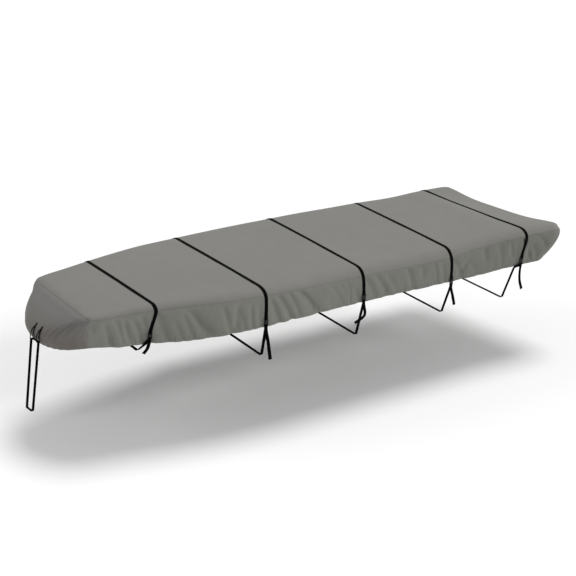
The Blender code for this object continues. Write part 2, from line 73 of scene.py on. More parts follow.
# One row for each place round the port half of the cover, from the bow's middle to the transom's middle.
# The seam is the edge of the deck panel. A wall runs from it to the hem: it sets off "lead" along the deck's
# own slope and comes down to the hem from a point "belly" outboard of it and "lift" above it.
PERIMETER_COLUMNS = ("seam_x", "seam_y", "hem_x", "hem_y", "hem_z", "lead", "belly", "lift")
PERIMETER = {
    "bow middle": (-2.605, 0.000, -2.840, 0.000, -0.401, 0.145, 0.165, 0.150),
    "bow quarter": (-2.605, 0.250, -2.800, 0.225, -0.394, 0.145, 0.165, 0.150),
    "bow side": (-2.605, 0.440, -2.700, 0.350, -0.386, 0.145, 0.147, 0.140),
    "ridge end": (-2.605, 0.530, -2.620, 0.405, -0.376, 0.080, 0.080, 0.135),
    "bow corner": (-2.584, 0.575, -2.562, 0.430, -0.373, 0.060, 0.055, 0.140),
    "bow shoulder": (-2.530, 0.597, -2.500, 0.445, -0.376, 0.055, 0.045, 0.145),
    "foredeck": (-2.300, 0.636, -2.290, 0.490, -0.404, 0.050, 0.030, 0.150),
    "strap 1": (-2.026, 0.692, -2.026, 0.525, -0.416, 0.050, 0.025, 0.150),
    "fore quarter": (-1.780, 0.748, -1.775, 0.630, -0.416, 0.050, 0.020, 0.150),
    "fore side": (-1.440, 0.823, -1.430, 0.765, -0.393, 0.050, 0.012, 0.140),
    "strap 2": (-1.036, 0.862, -1.036, 0.858, -0.354, 0.050, 0.008, 0.120),
    "strap 3": (0.000, 0.866, 0.000, 0.879, -0.329, 0.050, 0.006, 0.120),
    "strap 4": (1.036, 0.845, 1.036, 0.857, -0.346, 0.050, 0.006, 0.120),
    "aft bay": (1.450, 0.820, 1.440, 0.855, -0.348, 0.050, 0.006, 0.120),
    "strap 5": (1.957, 0.838, 1.880, 0.850, -0.344, 0.050, 0.006, 0.120),
    "aft side": (2.160, 0.834, 2.015, 0.850, -0.346, 0.055, 0.020, 0.120),
    "quarter": (2.295, 0.819, 2.085, 0.838, -0.348, 0.065, 0.068, 0.130),
    "stern corner": (2.345, 0.787, 2.125, 0.805, -0.351, 0.075, 0.112, 0.130),
    "transom end": (2.365, 0.730, 2.137, 0.750, -0.356, 0.080, 0.130, 0.130),
    "transom quarter": (2.365, 0.400, 2.143, 0.400, -0.361, 0.080, 0.130, 0.130),
    "transom middle": (2.365, 0.000, 2.143, 0.000, -0.364, 0.080, 0.130, 0.130),
}

# The skirts' main folds are troughs that deepen towards the hem. The columns are a fold's x at the seam and
# at the hem, its half width, its depth and how far down it starts, as a share.
FOLDS = (
    (-2.41, -2.39, 0.045, 0.008, 0.25),
    (-2.24, -2.18, 0.045, 0.010, 0.25),
    (-1.72, -1.52, 0.050, 0.014, 0.10),
    (-1.26, -1.31, 0.050, 0.010, 0.10),
    (-0.86, -0.76, 0.045, 0.010, 0.10),
    (-0.68, -0.47, 0.055, 0.014, 0.05),
    (-0.33, -0.28, 0.045, 0.008, 0.35),
    (0.15, 0.27, 0.045, 0.010, 0.15),
    (0.41, 0.46, 0.060, 0.010, 0.10),
    (0.74, 0.83, 0.045, 0.009, 0.25),
    (1.25, 1.13, 0.045, 0.009, 0.30),
    (1.54, 1.58, 0.060, 0.010, 0.10),
    (1.80, 1.73, 0.045, 0.008, 0.10),
    (2.12, 1.97, 0.045, 0.010, 0.20),
)
STARBOARD_FOLD_SHIFT = 0.14
FOLD_FULL = 0.9  # where a fold is at its deepest, as a share of the way down
STRAP_HOLD = {"share": 0.9, "half_width": 0.05}  # how far a strap keeps the folds away

# The bow panel's folds fan out from the port corner. Their columns are the same, with distances along the
# seam from the bow's middle in place of x.
BOW_FOLDS = (
    (-0.60, -0.22, 0.050, 0.012, 0.10),
    (-0.62, -0.40, 0.050, 0.010, 0.20),
    (0.58, 0.30, 0.055, 0.010, 0.20),
)

# The straps, bow to stern. The columns are where each crosses the centreline, how far its port end lies aft
# of that, how far down the skirt its buckles start, where its belly strap turns under the hull, and two
# points that its free tails hang through.
STRAPS = (
    (-2.044, 0.018, 0.740, (-2.086, 0.420, -0.504), ((-2.045, 0.528, -0.461), (-2.070, 0.505, -0.508))),
    (-1.051, 0.015, 0.800, (-1.035, 0.780, -0.658), ((-1.030, 0.890, -0.496), (-1.018, 0.905, -0.656))),
    (0.000, 0.000, 0.785, (0.000, 0.770, -0.692), ((0.000, 0.905, -0.446), (-0.110, 0.910, -0.504))),
    (1.036, 0.000, 0.905, (1.030, 0.740, -0.696), ((1.034, 0.893, -0.466), (1.052, 0.905, -0.568))),
    (1.952, -0.040, 0.800, (1.790, 0.740, -0.702), ((1.880, 0.890, -0.496), (1.905, 0.895, -0.581))),
)

BUCKLE = {"length": 0.060, "width": 0.041, "thickness": 0.009}
LEG_DEPTH = 0.0025  # from the buckle's inner face to the middle of the belly strap's end
TAIL_DEPTH = 0.0070  # and to the middle of the free tail
TAIL_START = 0.020  # how far a free tail runs straight on from its buckle
END_GAP = 0.002  # between a buckle and the webbing that enters it
HEM_TURN = {"lift": 0.0045, "drop": 0.004, "share": 0.7}  # where a leg from a high buckle passes the hem

LOOP_RUNS = {"port": -0.160, "starboard": -0.050}  # the nose loops' places along the seam
LOOP_SEAT = (0.58, 0.68)  # where a loop's inner layer lies on the bow panel
LOOP_EYE = 0.84  # and where its eye hangs, the same way down
LOOP_WIDTH = 0.018
LOOP_RADIUS = 0.0160
LOOP_RISE = ((0.72, 0.020), (0.645, 0.010))  # how far down its outer layer passes, and its height there
EYE_TURNS = (-110, 120)  # where the eye's round starts and ends, in degrees
TIE_SPARE = 0.0135  # the bow tie's reach past the loops' middles
TIE_FEET = ((-2.998, -0.045, -0.978), (-2.988, -0.155, -0.978))  # where it turns under the trailer's tongue
TIE_CORNER = 0.014

STEP = 1e-4  # for slopes


def unit(vectors):
    vectors = np.asarray(vectors, float)
    return vectors / np.linalg.norm(vectors, axis=-1, keepdims=True)


def travelled(points):
    """How far along a line each of its points lies."""
    return np.concatenate([[0], np.cumsum(np.linalg.norm(np.diff(points, axis=0), axis=1))])


def curve(nodes, values):
    """A smooth curve through the values at those nodes, as a function."""
    nodes, values = np.asarray(nodes, float), np.asarray(values, float)
    slopes = np.gradient(values, nodes)

    def at(place):
        place = np.asarray(place, float)
        i = np.clip(np.searchsorted(nodes, place) - 1, 0, len(nodes) - 2)
        span = nodes[i + 1] - nodes[i]
        t = np.clip((place - nodes[i]) / span, 0, 1)
        return (
            values[i] * (1 + 2 * t) * (1 - t) ** 2
            + values[i + 1] * t**2 * (3 - 2 * t)
            + span * t * (1 - t) * (slopes[i] * (1 - t) - slopes[i + 1] * t)
        )

    return at


def ease(value, start, end):
    """0 before start, 1 after end, and smooth between."""
    t = np.clip((value - start) / (end - start), 0, 1)
    return t * t * (3 - 2 * t)


def hill(away, half_width):
    """The height of a smooth hill at a distance from its middle, where it is 1."""
    return np.exp(-((away / half_width) ** 2))


def table(columns, rows, nodes):
    """A smooth curve for each named column."""
    return {name: curve(nodes, [row[i] for row in rows]) for i, name in enumerate(columns)}


def perimeter_curves():
    """The perimeter's columns by distance along the seam, mirrored past both ends so that they run level."""
    rows = [np.array(row) for row in PERIMETER.values()]
    runs = travelled(np.array([row[:2] for row in rows]))
    mirror = np.array([-1 if name.endswith("_y") else 1 for name in PERIMETER_COLUMNS])
    nodes = [-runs[1], *runs, 2 * runs[-1] - runs[-2]]
    rows = [rows[1] * mirror, *rows, rows[-2] * mirror]
    return table(PERIMETER_COLUMNS, rows, nodes), dict(zip(PERIMETER, runs))


deck_at = table(DECK_COLUMNS, DECK, [row[0] for row in DECK])
round_at, RUN = perimeter_curves()
SIDE_RUNS = np.linspace(RUN["ridge end"], RUN["transom end"], 2000)
SIDE_XS = round_at["seam_x"](SIDE_RUNS)


def run_at(x):
    """Distance along the seam, from the bow's middle to the place on a side with that x."""
    return np.interp(x, SIDE_XS, SIDE_RUNS)


def rounding(distance, reach, drop, tilt):
    """How far a rounded edge has fallen at a distance from its end, where it slopes at tilt degrees."""
    bend = np.minimum(drop / np.tan(np.radians(tilt)), 0.45 * reach)
    inward = np.clip(distance, 0, reach)
    root = np.sqrt((reach - bend) ** 2 - (reach - 2 * bend) * (reach - inward))
    t = (reach - bend - root) / (reach - 2 * bend)
    return drop * t * t


def deck_height(x, y, half):
    """The deck panel's upper face, where half is half its breadth there."""
    side = rounding(half - abs(y), deck_at["reach"](x), deck_at["drop"](x), deck_at["tilt"](x))
    end = rounding(x - BOW_X, **BOW_ROUND) + rounding(STERN_X - x, **STERN_ROUND)
    sag = STERN_SAG["depth"] * ease(x, STERN_SAG["from_x"], STERN_X)
    sag = sag * np.exp(-((y / STERN_SAG["half_width"]) ** 4))
    crest = deck_at["crest"](x) + deck_at["list"](x) * y / half
    return crest - CROWN * (y / half) ** 2 - (side**3 + end**3) ** (1 / 3) - sag


def skewed(x, y, z):
    """The point with the stern's skew."""
    shift = SKEW["amount"] * ease(x, SKEW["from_x"], SKEW["to_x"])
    return np.stack(np.broadcast_arrays(x - shift * y, y, z), axis=-1)


def breadth(across, half, reach):
    """The distance from the middle to a place across the deck panel, whose shoulders are reach wide."""
    part = np.abs(across)
    return np.where(part < 1, (half - reach) * part, half - reach * (2 - part)) * np.sign(across)


def deck(run, across):
    """A point on the deck panel. run is the distance along the seam to its column. across is 0 at the
    centreline, 1 where a shoulder starts and 2 at its seam, and below 0 to port."""
    x, half = round_at["seam_x"](run), round_at["seam_y"](run)
    y = breadth(across, half, deck_at["reach"](x))
    return skewed(x, y, deck_height(x, y, half))


def outward(run):
    """The seam's normal in plan, on the starboard side."""
    dx = round_at["seam_x"](run + STEP) - round_at["seam_x"](run - STEP)
    dy = round_at["seam_y"](run + STEP) - round_at["seam_y"](run - STEP)
    return unit(np.stack([-dy, dx], axis=-1))


def trough(run, fall, top, bottom, half_width, depth, start):
    middle = top + (bottom - top) * fall
    return depth * ease(fall, start, FOLD_FULL) * hill(run - middle, half_width)


def hollow(run, fall, side):
    """How far the folds draw the wall in."""
    depth = np.zeros(np.broadcast(run, fall).shape)
    for top, bottom, *rest in FOLDS:
        shift = np.where(side > 0, STARBOARD_FOLD_SHIFT, 0)
        depth += trough(run, fall, run_at(top + shift), run_at(bottom + shift), *rest)
    for x, *_ in STRAPS:
        depth *= 1 - STRAP_HOLD["share"] * hill(run - run_at(x), STRAP_HOLD["half_width"])
    for top, bottom, *rest in BOW_FOLDS:
        depth += trough(run * side, fall, top, bottom, *rest)
    return depth


def wall(run, fall):
    """A point on the skirts, the bow panel or the transom panel. run is the distance along the seam from the
    bow's middle, below 0 to port. fall is 0 at the seam and 1 at the hem."""
    run, fall = np.broadcast_arrays(np.asarray(run, float), np.asarray(fall, float))
    side = np.where(run < 0, -1, 1)
    run = np.abs(run)
    value = {name: column(run) for name, column in round_at.items()}
    x, y = np.clip(value["seam_x"], BOW_X, STERN_X), value["seam_y"]  # its curve swings a little past them
    out = outward(run)
    half = np.where(run < RUN["ridge end"], PERIMETER["ridge end"][1], y)
    half = np.where(run > RUN["transom end"], PERIMETER["transom end"][1], half)
    seam_z = deck_height(x, y * side, half)
    inner_z = deck_height(x - STEP * out[..., 0], (y - STEP * out[..., 1]) * side, half)
    slope = unit(np.stack([out[..., 0], out[..., 1], (seam_z - inner_z) / STEP], axis=-1))
    seam = np.stack([x, y, seam_z], axis=-1)
    hem = np.stack([value["hem_x"], value["hem_y"], value["hem_z"]], axis=-1)
    leaving = seam + value["lead"][..., None] * slope
    up = np.stack([out[..., 0] * value["belly"], out[..., 1] * value["belly"], value["lift"]], axis=-1)
    t = fall[..., None]
    point = (
        seam * (1 - t) ** 3
        + 3 * leaving * t * (1 - t) ** 2
        + 3 * (hem + up) * t**2 * (1 - t)
        + hem * t**3
    )
    drawn = hollow(run, fall, side)
    return skewed(
        point[..., 0] - drawn * out[..., 0],
        (point[..., 1] - drawn * out[..., 1]) * side,
        point[..., 2],
    )


def normals(surface, first, second):
    """Unit normals of a surface, upwards or outwards, at those coordinates."""
    along = surface(first + STEP, second) - surface(first - STEP, second)
    side = np.where(second < 0, -1, 1)
    across = surface(first, second) - surface(first, second - STEP * side)
    return unit(np.cross(along, across * side[..., None]))


def stood_off(run, falls, lift, surface=wall):
    """Points that stand off a surface of the walls by lift, and the walls' normals there."""
    run, falls = np.broadcast_arrays(np.atleast_1d(run), falls)
    facing = normals(wall, run, falls)
    return surface(run, falls) + facing * np.reshape(lift, (-1, 1)), facing


def rows_across(inner, outer):
    """Places across the deck panel from seam to seam. inner is how many there are from the centreline to a
    shoulder, and outer how many over it."""
    half = np.concatenate([np.linspace(0, 1, inner), np.linspace(1, 2, outer)[1:]])
    return np.concatenate([-half[:0:-1], half])


def spaced(start, end, pitch, also=()):
    """Values from start to end, about pitch apart, with the others in place of those near them."""
    between = np.linspace(start, end, round((end - start) / pitch) + 1)[1:-1]
    also = [value for value in also if start < value < end]
    kept = [value for value in between if all(abs(value - other) > 0.4 * pitch for other in also)]
    return np.array(sorted([start, end, *kept, *also]))


def buckle_frame(run, start):
    """The place of a buckle that starts that far down a skirt, at that distance along the seam: its lower
    end, on its inner face, and the directions along the hem, out of the cloth and down it."""
    cloth = wall(run, np.linspace(start, 1, 9))
    down = unit(cloth[-1] - cloth[0])
    along = (wall(run + STEP, 1) - wall(run - STEP, 1)) * np.sign(run)
    along = unit(along - np.dot(along, down) * down)
    facing = np.cross(along, down) * np.sign(run)
    beside = run + np.linspace(-1, 1, 7)[:, None] * BUCKLE["width"]
    behind = wall(beside, np.linspace(start, 1, 9)) - cloth[0]
    depth = HEM_CLEARANCE + np.max(behind @ facing)
    return cloth[0] + BUCKLE["length"] * down + depth * facing, along, facing, down


def rounded(points, pitch):
    """A smooth curve through the points, with a point about every pitch."""
    points = np.asarray(points, float)
    along = travelled(points)
    at = np.linspace(0, along[-1], round(along[-1] / pitch) + 1)
    return np.stack([curve(along, points[:, axis])(at) for axis in range(3)], axis=1)


# ---- the cloth's finer shape ----

CLOTH = 0.0011  # the cloth's thickness, and the webbing's, as they look
SCENE_WEBBING = 0.0016
OVER_STRAP = 0.0028  # an over strap's thickness with the strip under it, but for its ends
OVER_STRAP_END = 0.07
PITCH_FINE = 0.0075  # along the skirts
DECK_PITCH = 0.015
TRANSOM_COLUMNS = 90  # in each half
STRAP_PRESS_ROWS = 0.01  # between the deck's rows at a strap
FLAP_FALLS = (0.006, 0.014, 0.024, 0.030)  # the deck panel's edge, lapped over the skirts
FLAP_LIFT = 0.0002
FLAP_RISE = (0, 0.012)  # where that lift comes in
FLAP_PITCH = 0.003  # between the edge's rows, on the cloth's map
WELD = 2e-5
FLAP_BED = {"depth": 0.0015, "ends": (0.0285, 0.0325)}
TOP_FALLS = (0.003, 0.012, 0.024, 0.0285, 0.0325, 0.044)
MIDDLE_FALLS = (0.06, 0.90)
HEM_FALLS = (0.93, 0.94, 0.955, 0.975, 0.99, 1.0)
HEM_BACK = (0.994, 0.975, 0.95, 0.935)  # the turned-in part of the hem
HEM_FOLD = {"depth": 0.0034, "least": 0.35, "over": 0.02}
HEM_BULGE = {"depth": 0.0012, "grows": (0.925, 0.945), "stitched": 0.93, "half_width": 0.006}

# The skirts' finer creases. The columns are a crease's x at the seam and at the hem, its half width, its
# depth, and how far down the skirt it starts and ends, as shares.
PORT_CREASES = (
    (-2.58, -2.54, 0.025, 0.016, 0.0, 0.7),
    (-2.51, -2.37, 0.030, 0.016, 0.2, 1.1),
    (-2.41, -2.25, 0.025, 0.010, 0.0, 1.2),
    (-2.33, -2.19, 0.025, 0.017, 0.2, 1.0),
    (-2.27, -2.06, 0.030, 0.018, 0.2, 1.1),
    (-2.18, -2.00, 0.025, 0.015, 0.1, 1.3),
    (-2.05, -1.86, 0.035, 0.015, 0.0, 1.2),
    (-1.92, -1.75, 0.020, 0.009, 0.4, 1.4),
    (-1.84, -1.66, 0.025, 0.010, 0.2, 1.4),
    (-1.80, -1.51, 0.035, 0.020, 0.1, 1.0),
    (-1.74, -1.57, 0.030, 0.008, 0.2, 1.3),
    (-1.47, -1.35, 0.030, 0.015, 0.1, 1.3),
    (-1.33, -1.22, 0.025, 0.008, 0.4, 1.4),
    (-1.30, -1.31, 0.030, 0.013, 0.1, 1.0),
    (-1.19, -1.16, 0.020, 0.011, 0.2, 1.1),
    (-1.12, -1.08, 0.025, 0.009, 0.2, 1.3),
    (-1.01, -0.90, 0.035, 0.022, 0.1, 1.2),
    (-0.94, -0.77, 0.035, 0.022, 0.0, 1.2),
    (-0.82, -0.68, 0.025, 0.015, 0.0, 1.1),
    (-0.72, -0.50, 0.035, 0.026, 0.0, 1.1),
    (-0.44, -0.34, 0.030, 0.005, 0.5, 1.3),
    (-0.39, -0.21, 0.025, 0.007, 0.1, 1.3),
    (-0.29, -0.13, 0.015, 0.004, 0.1, 0.8),
    (-0.18, -0.14, 0.015, 0.005, 0.1, 1.3),
    (-0.13, -0.05, 0.030, 0.014, 0.4, 1.4),
    (0.00, 0.14, 0.035, 0.014, 0.0, 1.1),
    (0.12, 0.28, 0.035, 0.013, 0.0, 1.1),
    (0.23, 0.40, 0.035, 0.010, 0.1, 1.2),
    (0.50, 0.58, 0.035, 0.016, 0.0, 1.2),
    (0.68, 0.70, 0.035, 0.012, 0.0, 0.8),
    (0.82, 0.88, 0.025, 0.010, 0.0, 1.1),
    (0.91, 0.96, 0.035, 0.012, 0.1, 1.2),
    (1.02, 1.19, 0.035, 0.015, 0.0, 1.2),
    (1.14, 1.38, 0.035, 0.008, 0.4, 1.4),
    (1.35, 1.11, 0.035, 0.010, 0.3, 0.9),
    (1.44, 1.49, 0.035, 0.012, 0.0, 0.8),
    (1.61, 1.68, 0.035, 0.012, 0.0, 1.2),
    (1.72, 1.83, 0.025, 0.013, 0.1, 0.9),
    (1.82, 1.85, 0.035, 0.011, 0.1, 1.3),
    (1.84, 2.09, 0.030, 0.016, 0.0, 1.1),
    (1.85, 2.22, 0.035, 0.014, 0.3, 1.0),
    (1.98, 2.40, 0.030, 0.013, 0.0, 0.8),
    (2.23, 2.27, 0.030, 0.006, 0.5, 1.2),
)
CREASE_ENDS = 0.28  # the share of the skirt over which a crease comes and goes
CREASE_ROOT = 0.12  # and over which the seam holds them all
# The bow panel's creases run on to the hem. Their places are distances along the seam from its middle, and
# the last column is how far down each is at its deepest.
BOW_CREASES = (
    (-0.565, -0.475, 0.012, 0.0075, 0.12, 0.45),
    (-0.546, -0.390, 0.012, 0.0100, 0.10, 0.45),
    (-0.515, -0.310, 0.012, 0.0100, 0.12, 0.50),
    (-0.490, -0.225, 0.013, 0.0090, 0.15, 0.60),
    (-0.440, -0.150, 0.016, 0.0070, 0.28, 0.75),
    (0.580, 0.36, 0.016, 0.0060, 0.06, 0.60),
    (0.560, 0.46, 0.015, 0.0060, 0.08, 0.60),
    (0.500, 0.22, 0.017, 0.0050, 0.15, 0.70),
)
BOW_FOLD_SHARE = 0.15  # what is left here of the bow panel's broad folds
# The cloth's soft turn over the bow's edge. It fades out over the ridge's ends.
BOW_EDGE = {"rise": 0.008, "fall": 0.095, "half_width": 0.06, "fades": (-0.08, 0.02)}
# Families of small puckers, drawn at random: the hem's gathers, and those that the seam's stitching draws up.
HEM_PUCKERS = {"seed": 11, "spacing": (0.022, 0.052), "width": (0.006, 0.012), "depth": (0.0020, 0.0050),
               "start": (0.55, 0.88), "lean": (-0.02, 0.035)}
SEAM_PUCKERS = {"seed": 23, "spacing": (0.045, 0.120), "width": (0.009, 0.018), "depth": (0.0008, 0.0026),
                "end": (0.20, 0.62), "lean": (-0.03, 0.05)}
SEAM_PUCKER_FULL = (0.07, 0.1)  # the falls between which those are at their deepest
STARBOARD_PUCKER_SHIFT = 0.017
STRAP_PRESS = {"depth": 0.0014, "half_width": 0.021, "at_edge": 0.35}
# The deck panel's unevenness. A row is a wave's height and its two factors, each by its radians per metre of
# x and of y and its start.
DECK_WAVES = (
    (0.0016, (5.3, 2.1, 0.6), (-1.9, 3.7, 1.2)),
    (0.0011, (9.1, -4.4, 2.0), (0.0, 6.3, 0.4 + math.pi / 2)),
)
DECK_WAVES_END = (1.2, 2.0)  # the places across where they fade


def drawn(family, end_key):
    """One family's puckers on one side, as rows of run at its root, lean, half width, depth and reach."""
    rng = np.random.default_rng(family["seed"])
    rows, at = [], 0.0
    total = RUN["transom middle"]
    while at < total:
        at += rng.uniform(*family["spacing"])
        rows.append([at, rng.uniform(*family["lean"]), rng.uniform(*family["width"]),
                     rng.uniform(*family["depth"]), rng.uniform(*family[end_key])])
    return rows


HEM_ROWS = drawn(HEM_PUCKERS, "start")
SEAM_ROWS = drawn(SEAM_PUCKERS, "end")


def fine_depth(run, fall, side):
    """How far the finer creases and puckers draw the wall in, where run is measured without its sign."""
    depth = np.zeros(np.broadcast(run, fall).shape)
    for top, bottom, half_width, deep, start, end in PORT_CREASES:
        shift = np.where(side > 0, STARBOARD_FOLD_SHIFT, 0)
        middle = run_at(top + shift) * (1 - fall) + run_at(bottom + shift) * fall
        half_way = (start + end) / 2
        grown = ease(fall, start, min(start + CREASE_ENDS, half_way))
        grown *= 1 - ease(fall, max(end - CREASE_ENDS, half_way), end)
        depth += deep * grown * hill(run - middle, half_width)
    depth *= ease(fall, 0.0, CREASE_ROOT)
    offset = np.where(side > 0, STARBOARD_PUCKER_SHIFT, 0)
    for at, lean, half_width, deep, start in HEM_ROWS:
        middle = at + offset + lean * (1 - fall)
        depth += deep * ease(fall, start, 1) * hill(run - middle, half_width)
    for at, lean, half_width, deep, end in SEAM_ROWS:
        middle = at + offset + lean * fall
        grown = ease(fall, 0.0, SEAM_PUCKER_FULL[0]) * (1 - ease(fall, SEAM_PUCKER_FULL[1], end))
        depth += deep * grown * hill(run - middle, half_width)
    for x, *_ in STRAPS:
        depth *= 1 - STRAP_HOLD["share"] * hill(run - run_at(x), STRAP_PRESS["half_width"])
    for top, bottom, half_width, deep, start, full in BOW_CREASES:
        middle = top + (bottom - top) * fall
        depth += deep * ease(fall, start, full) * hill(run * side - middle, half_width)
    for top, bottom, *rest in BOW_FOLDS:
        depth -= (1 - BOW_FOLD_SHARE) * trough(run * side, fall, top, bottom, *rest)
    on_bow = 1 - ease(run - RUN["ridge end"], *BOW_EDGE["fades"])
    depth -= on_bow * BOW_EDGE["rise"] * hill(fall - BOW_EDGE["fall"], BOW_EDGE["half_width"])
    swollen = ease(fall, *HEM_BULGE["grows"]) - hill(fall - HEM_BULGE["stitched"], HEM_BULGE["half_width"])
    return depth - HEM_BULGE["depth"] * swollen


def drawn_in(points, run, depth):
    """Points of the walls moved inwards, square to the seam."""
    out = outward(np.abs(run)) * depth[..., None]
    out[..., 1] *= np.where(run < 0, -1, 1)
    points[..., :2] -= out
    return points


def fine_wall(run, fall):
    """The wall with its finer creases, which the straps hold off near their lines."""
    run, fall = np.broadcast_arrays(np.asarray(run, float), np.asarray(fall, float))
    side = np.where(run < 0, -1, 1)
    depth = fine_depth(np.abs(run), np.clip(fall, 0, 1), side)
    return drawn_in(wall(run, fall), run, depth)


def fine_rows(run, falls, depth):
    """A grid of points on the fine walls, drawn in by a depth that depends on the fall."""
    run, falls = np.meshgrid(run, falls, indexing="ij")
    return drawn_in(fine_wall(run, falls), run, depth(falls))


def fine_deck(run, across):
    """The deck panel, with its straps pressed in and slightly uneven between them."""
    run, across = np.broadcast_arrays(np.asarray(run, float), np.asarray(across, float))
    point = deck(run, across)
    x, y = point[..., 0], point[..., 1]
    press = np.zeros(x.shape)
    for strap_x, aft, *_ in STRAPS:
        line = run_at(strap_x - aft * np.clip(across, -1, 1))
        press += hill(run - line, STRAP_PRESS["half_width"])
    inside = 1 - ease(np.abs(across), *DECK_WAVES_END)
    waves = 0
    for height, first, second in DECK_WAVES:
        waves += height * np.prod([np.sin(a * x + b * y + c) for a, b, c in (first, second)], axis=0)
    share = STRAP_PRESS["at_edge"] + (1 - STRAP_PRESS["at_edge"]) * inside
    point[..., 2] += waves * inside - STRAP_PRESS["depth"] * press * share
    return point


# ---- meshes ----

def linked(name, mesh):
    made = bpy.data.objects.new(name, mesh)
    bpy.context.scene.collection.objects.link(made)
    return made


def mesh_from(name, points, faces, uvs, finish):
    """A mesh object with smooth faces, and a map in metres where uvs gives each point's place on it."""
    mesh = bpy.data.meshes.new(name)
    faces = faces.tolist() if isinstance(faces, np.ndarray) else faces
    mesh.from_pydata(np.reshape(points, (-1, 3)).tolist(), [], faces)
    if uvs is not None:
        layer = mesh.uv_layers.new(name="cloth")
        corners = np.zeros(len(mesh.loops), np.int32)
        mesh.loops.foreach_get("vertex_index", corners)
        layer.data.foreach_set("uv", np.asarray(uvs, np.float32).reshape(-1, 2)[corners].ravel())
    mesh.materials.append(finish)
    mesh.shade_smooth()
    return linked(name, mesh)


def reworked(mesh, change):
    """Makes a change to a mesh in bmesh."""
    work = bmesh.new()
    work.from_mesh(mesh)
    change(work)
    work.to_mesh(mesh)
    work.free()


def normals_out(work):
    bmesh.ops.recalc_face_normals(work, faces=work.faces)


def grid_faces(columns, rows):
    """The quads of a grid of points, numbered row by row within each column."""
    i, j = np.meshgrid(np.arange(columns - 1), np.arange(rows - 1), indexing="ij")
    corner = i * rows + j
    return np.stack([corner, corner + rows, corner + rows + 1, corner + 1], axis=-1).reshape(-1, 4)


def lengths(points, axis):
    """Mean distance along that axis of a grid, from its start."""
    steps = np.linalg.norm(np.diff(points, axis=axis), axis=-1).mean(axis=1 - axis)
    return np.concatenate([[0], np.cumsum(steps)])


def grid_map(points):
    return np.stack(np.meshgrid(lengths(points, 0), lengths(points, 1), indexing="ij"), axis=-1)


def thickened(made, thickness):
    solidify = made.modifiers.new("thickness", "SOLIDIFY")
    solidify.thickness = thickness
    solidify.offset = -1
    return made


def oriented(points, faces, hint):
    """The faces turned so that the one in the middle faces the hint."""
    corners = points.reshape(-1, 3)[faces[len(faces) // 2]]
    normal = np.cross(corners[1] - corners[0], corners[2] - corners[0])
    return faces if normal @ np.array(hint, float) > 0 else faces[:, ::-1]


def bed(fall):
    """How much deeper a wall lies under the deck panel's edge."""
    return FLAP_BED["depth"] * (1 - ease(fall, *FLAP_BED["ends"]))


def hem_fold(fall):
    """How deep the turned-in part of a hem lies."""
    share = HEM_FOLD["least"] + (1 - HEM_FOLD["least"]) * ease(1 - fall, 0, HEM_FOLD["over"])
    return HEM_FOLD["depth"] * share


def add_wall_cloth(name, runs, hint, finish, rows=22):
    """One wall's cloth with its hem. runs are its stretches of the seam. Its outer side faces the hint."""
    falls = np.concatenate([TOP_FALLS, np.linspace(*MIDDLE_FALLS, rows), HEM_FALLS])
    run = np.concatenate(runs)
    points = np.concatenate([fine_rows(run, falls, bed), fine_rows(run, HEM_BACK, hem_fold)], axis=1)
    faces = oriented(points, grid_faces(*points.shape[:2]), hint)
    return thickened(mesh_from(name, points, faces, grid_map(points), finish), CLOTH)


def add_deck_cloth(name, finish):
    """The deck panel with its edge turned down over the skirts, in one grid of quads without corners."""
    start, end = RUN["ridge end"], RUN["transom end"]
    beside = STRAP_PRESS_ROWS * np.arange(-3, 4)
    run = spaced(start, end, DECK_PITCH, [run_at(x + away) for x, *_ in STRAPS for away in beside])
    across = rows_across(38, 13)
    flaps = np.array(FLAP_FALLS)
    middle = fine_deck(*np.meshgrid(run, across, indexing="ij"))

    def flap(run, falls):
        return fine_rows(run, falls, lambda fall: -FLAP_LIFT * ease(fall, *FLAP_RISE))

    sides = np.concatenate([flap(-run, flaps[::-1]), middle, flap(run, flaps)], axis=1)
    count = len(flaps)
    grid = np.full((len(run) + 2 * count, sides.shape[1], 3), np.nan)
    grid[count:-count] = sides
    grid[:count, count:-count] = flap(middle[0, :, 1], flaps[::-1]).transpose(1, 0, 2)
    stern_y = breadth(across, RUN["transom middle"] - end, deck_at["reach"](STERN_X))
    run_stern = np.where(stern_y < 0, -1, 1) * (RUN["transom middle"] - np.abs(stern_y))
    grid[-count:, count:-count] = flap(run_stern, flaps).transpose(1, 0, 2)
    whole = grid.reshape(-1, 3)
    faces = grid_faces(*grid.shape[:2])
    faces = faces[~np.isnan(whole[faces]).any(axis=(1, 2))]
    outside = FLAP_PITCH * np.arange(1, count + 1)
    ways = [lengths(middle, axis) for axis in (0, 1)]
    ways = [np.concatenate([-outside[::-1], way, way[-1] + outside]) for way in ways]
    uvs = np.stack(np.meshgrid(*ways, indexing="ij"), axis=-1).reshape(-1, 2)
    used, numbers = np.unique(faces, return_inverse=True)
    points = whole[used]
    faces = oriented(points, numbers.reshape(faces.shape), (0, 0, 1))
    made = mesh_from(name, points, faces, uvs[used], finish)
    reworked(made.data, lambda work: bmesh.ops.remove_doubles(work, verts=work.verts, dist=WELD))
    return thickened(made, CLOTH)


PROFILE = ((-0.5, -0.28), (-0.475, -0.5), (-0.2, -0.5), (0.2, -0.5), (0.475, -0.5), (0.5, -0.28),
           (0.5, 0.28), (0.475, 0.5), (0.2, 0.5), (-0.2, 0.5), (-0.475, 0.5), (-0.5, 0.28))


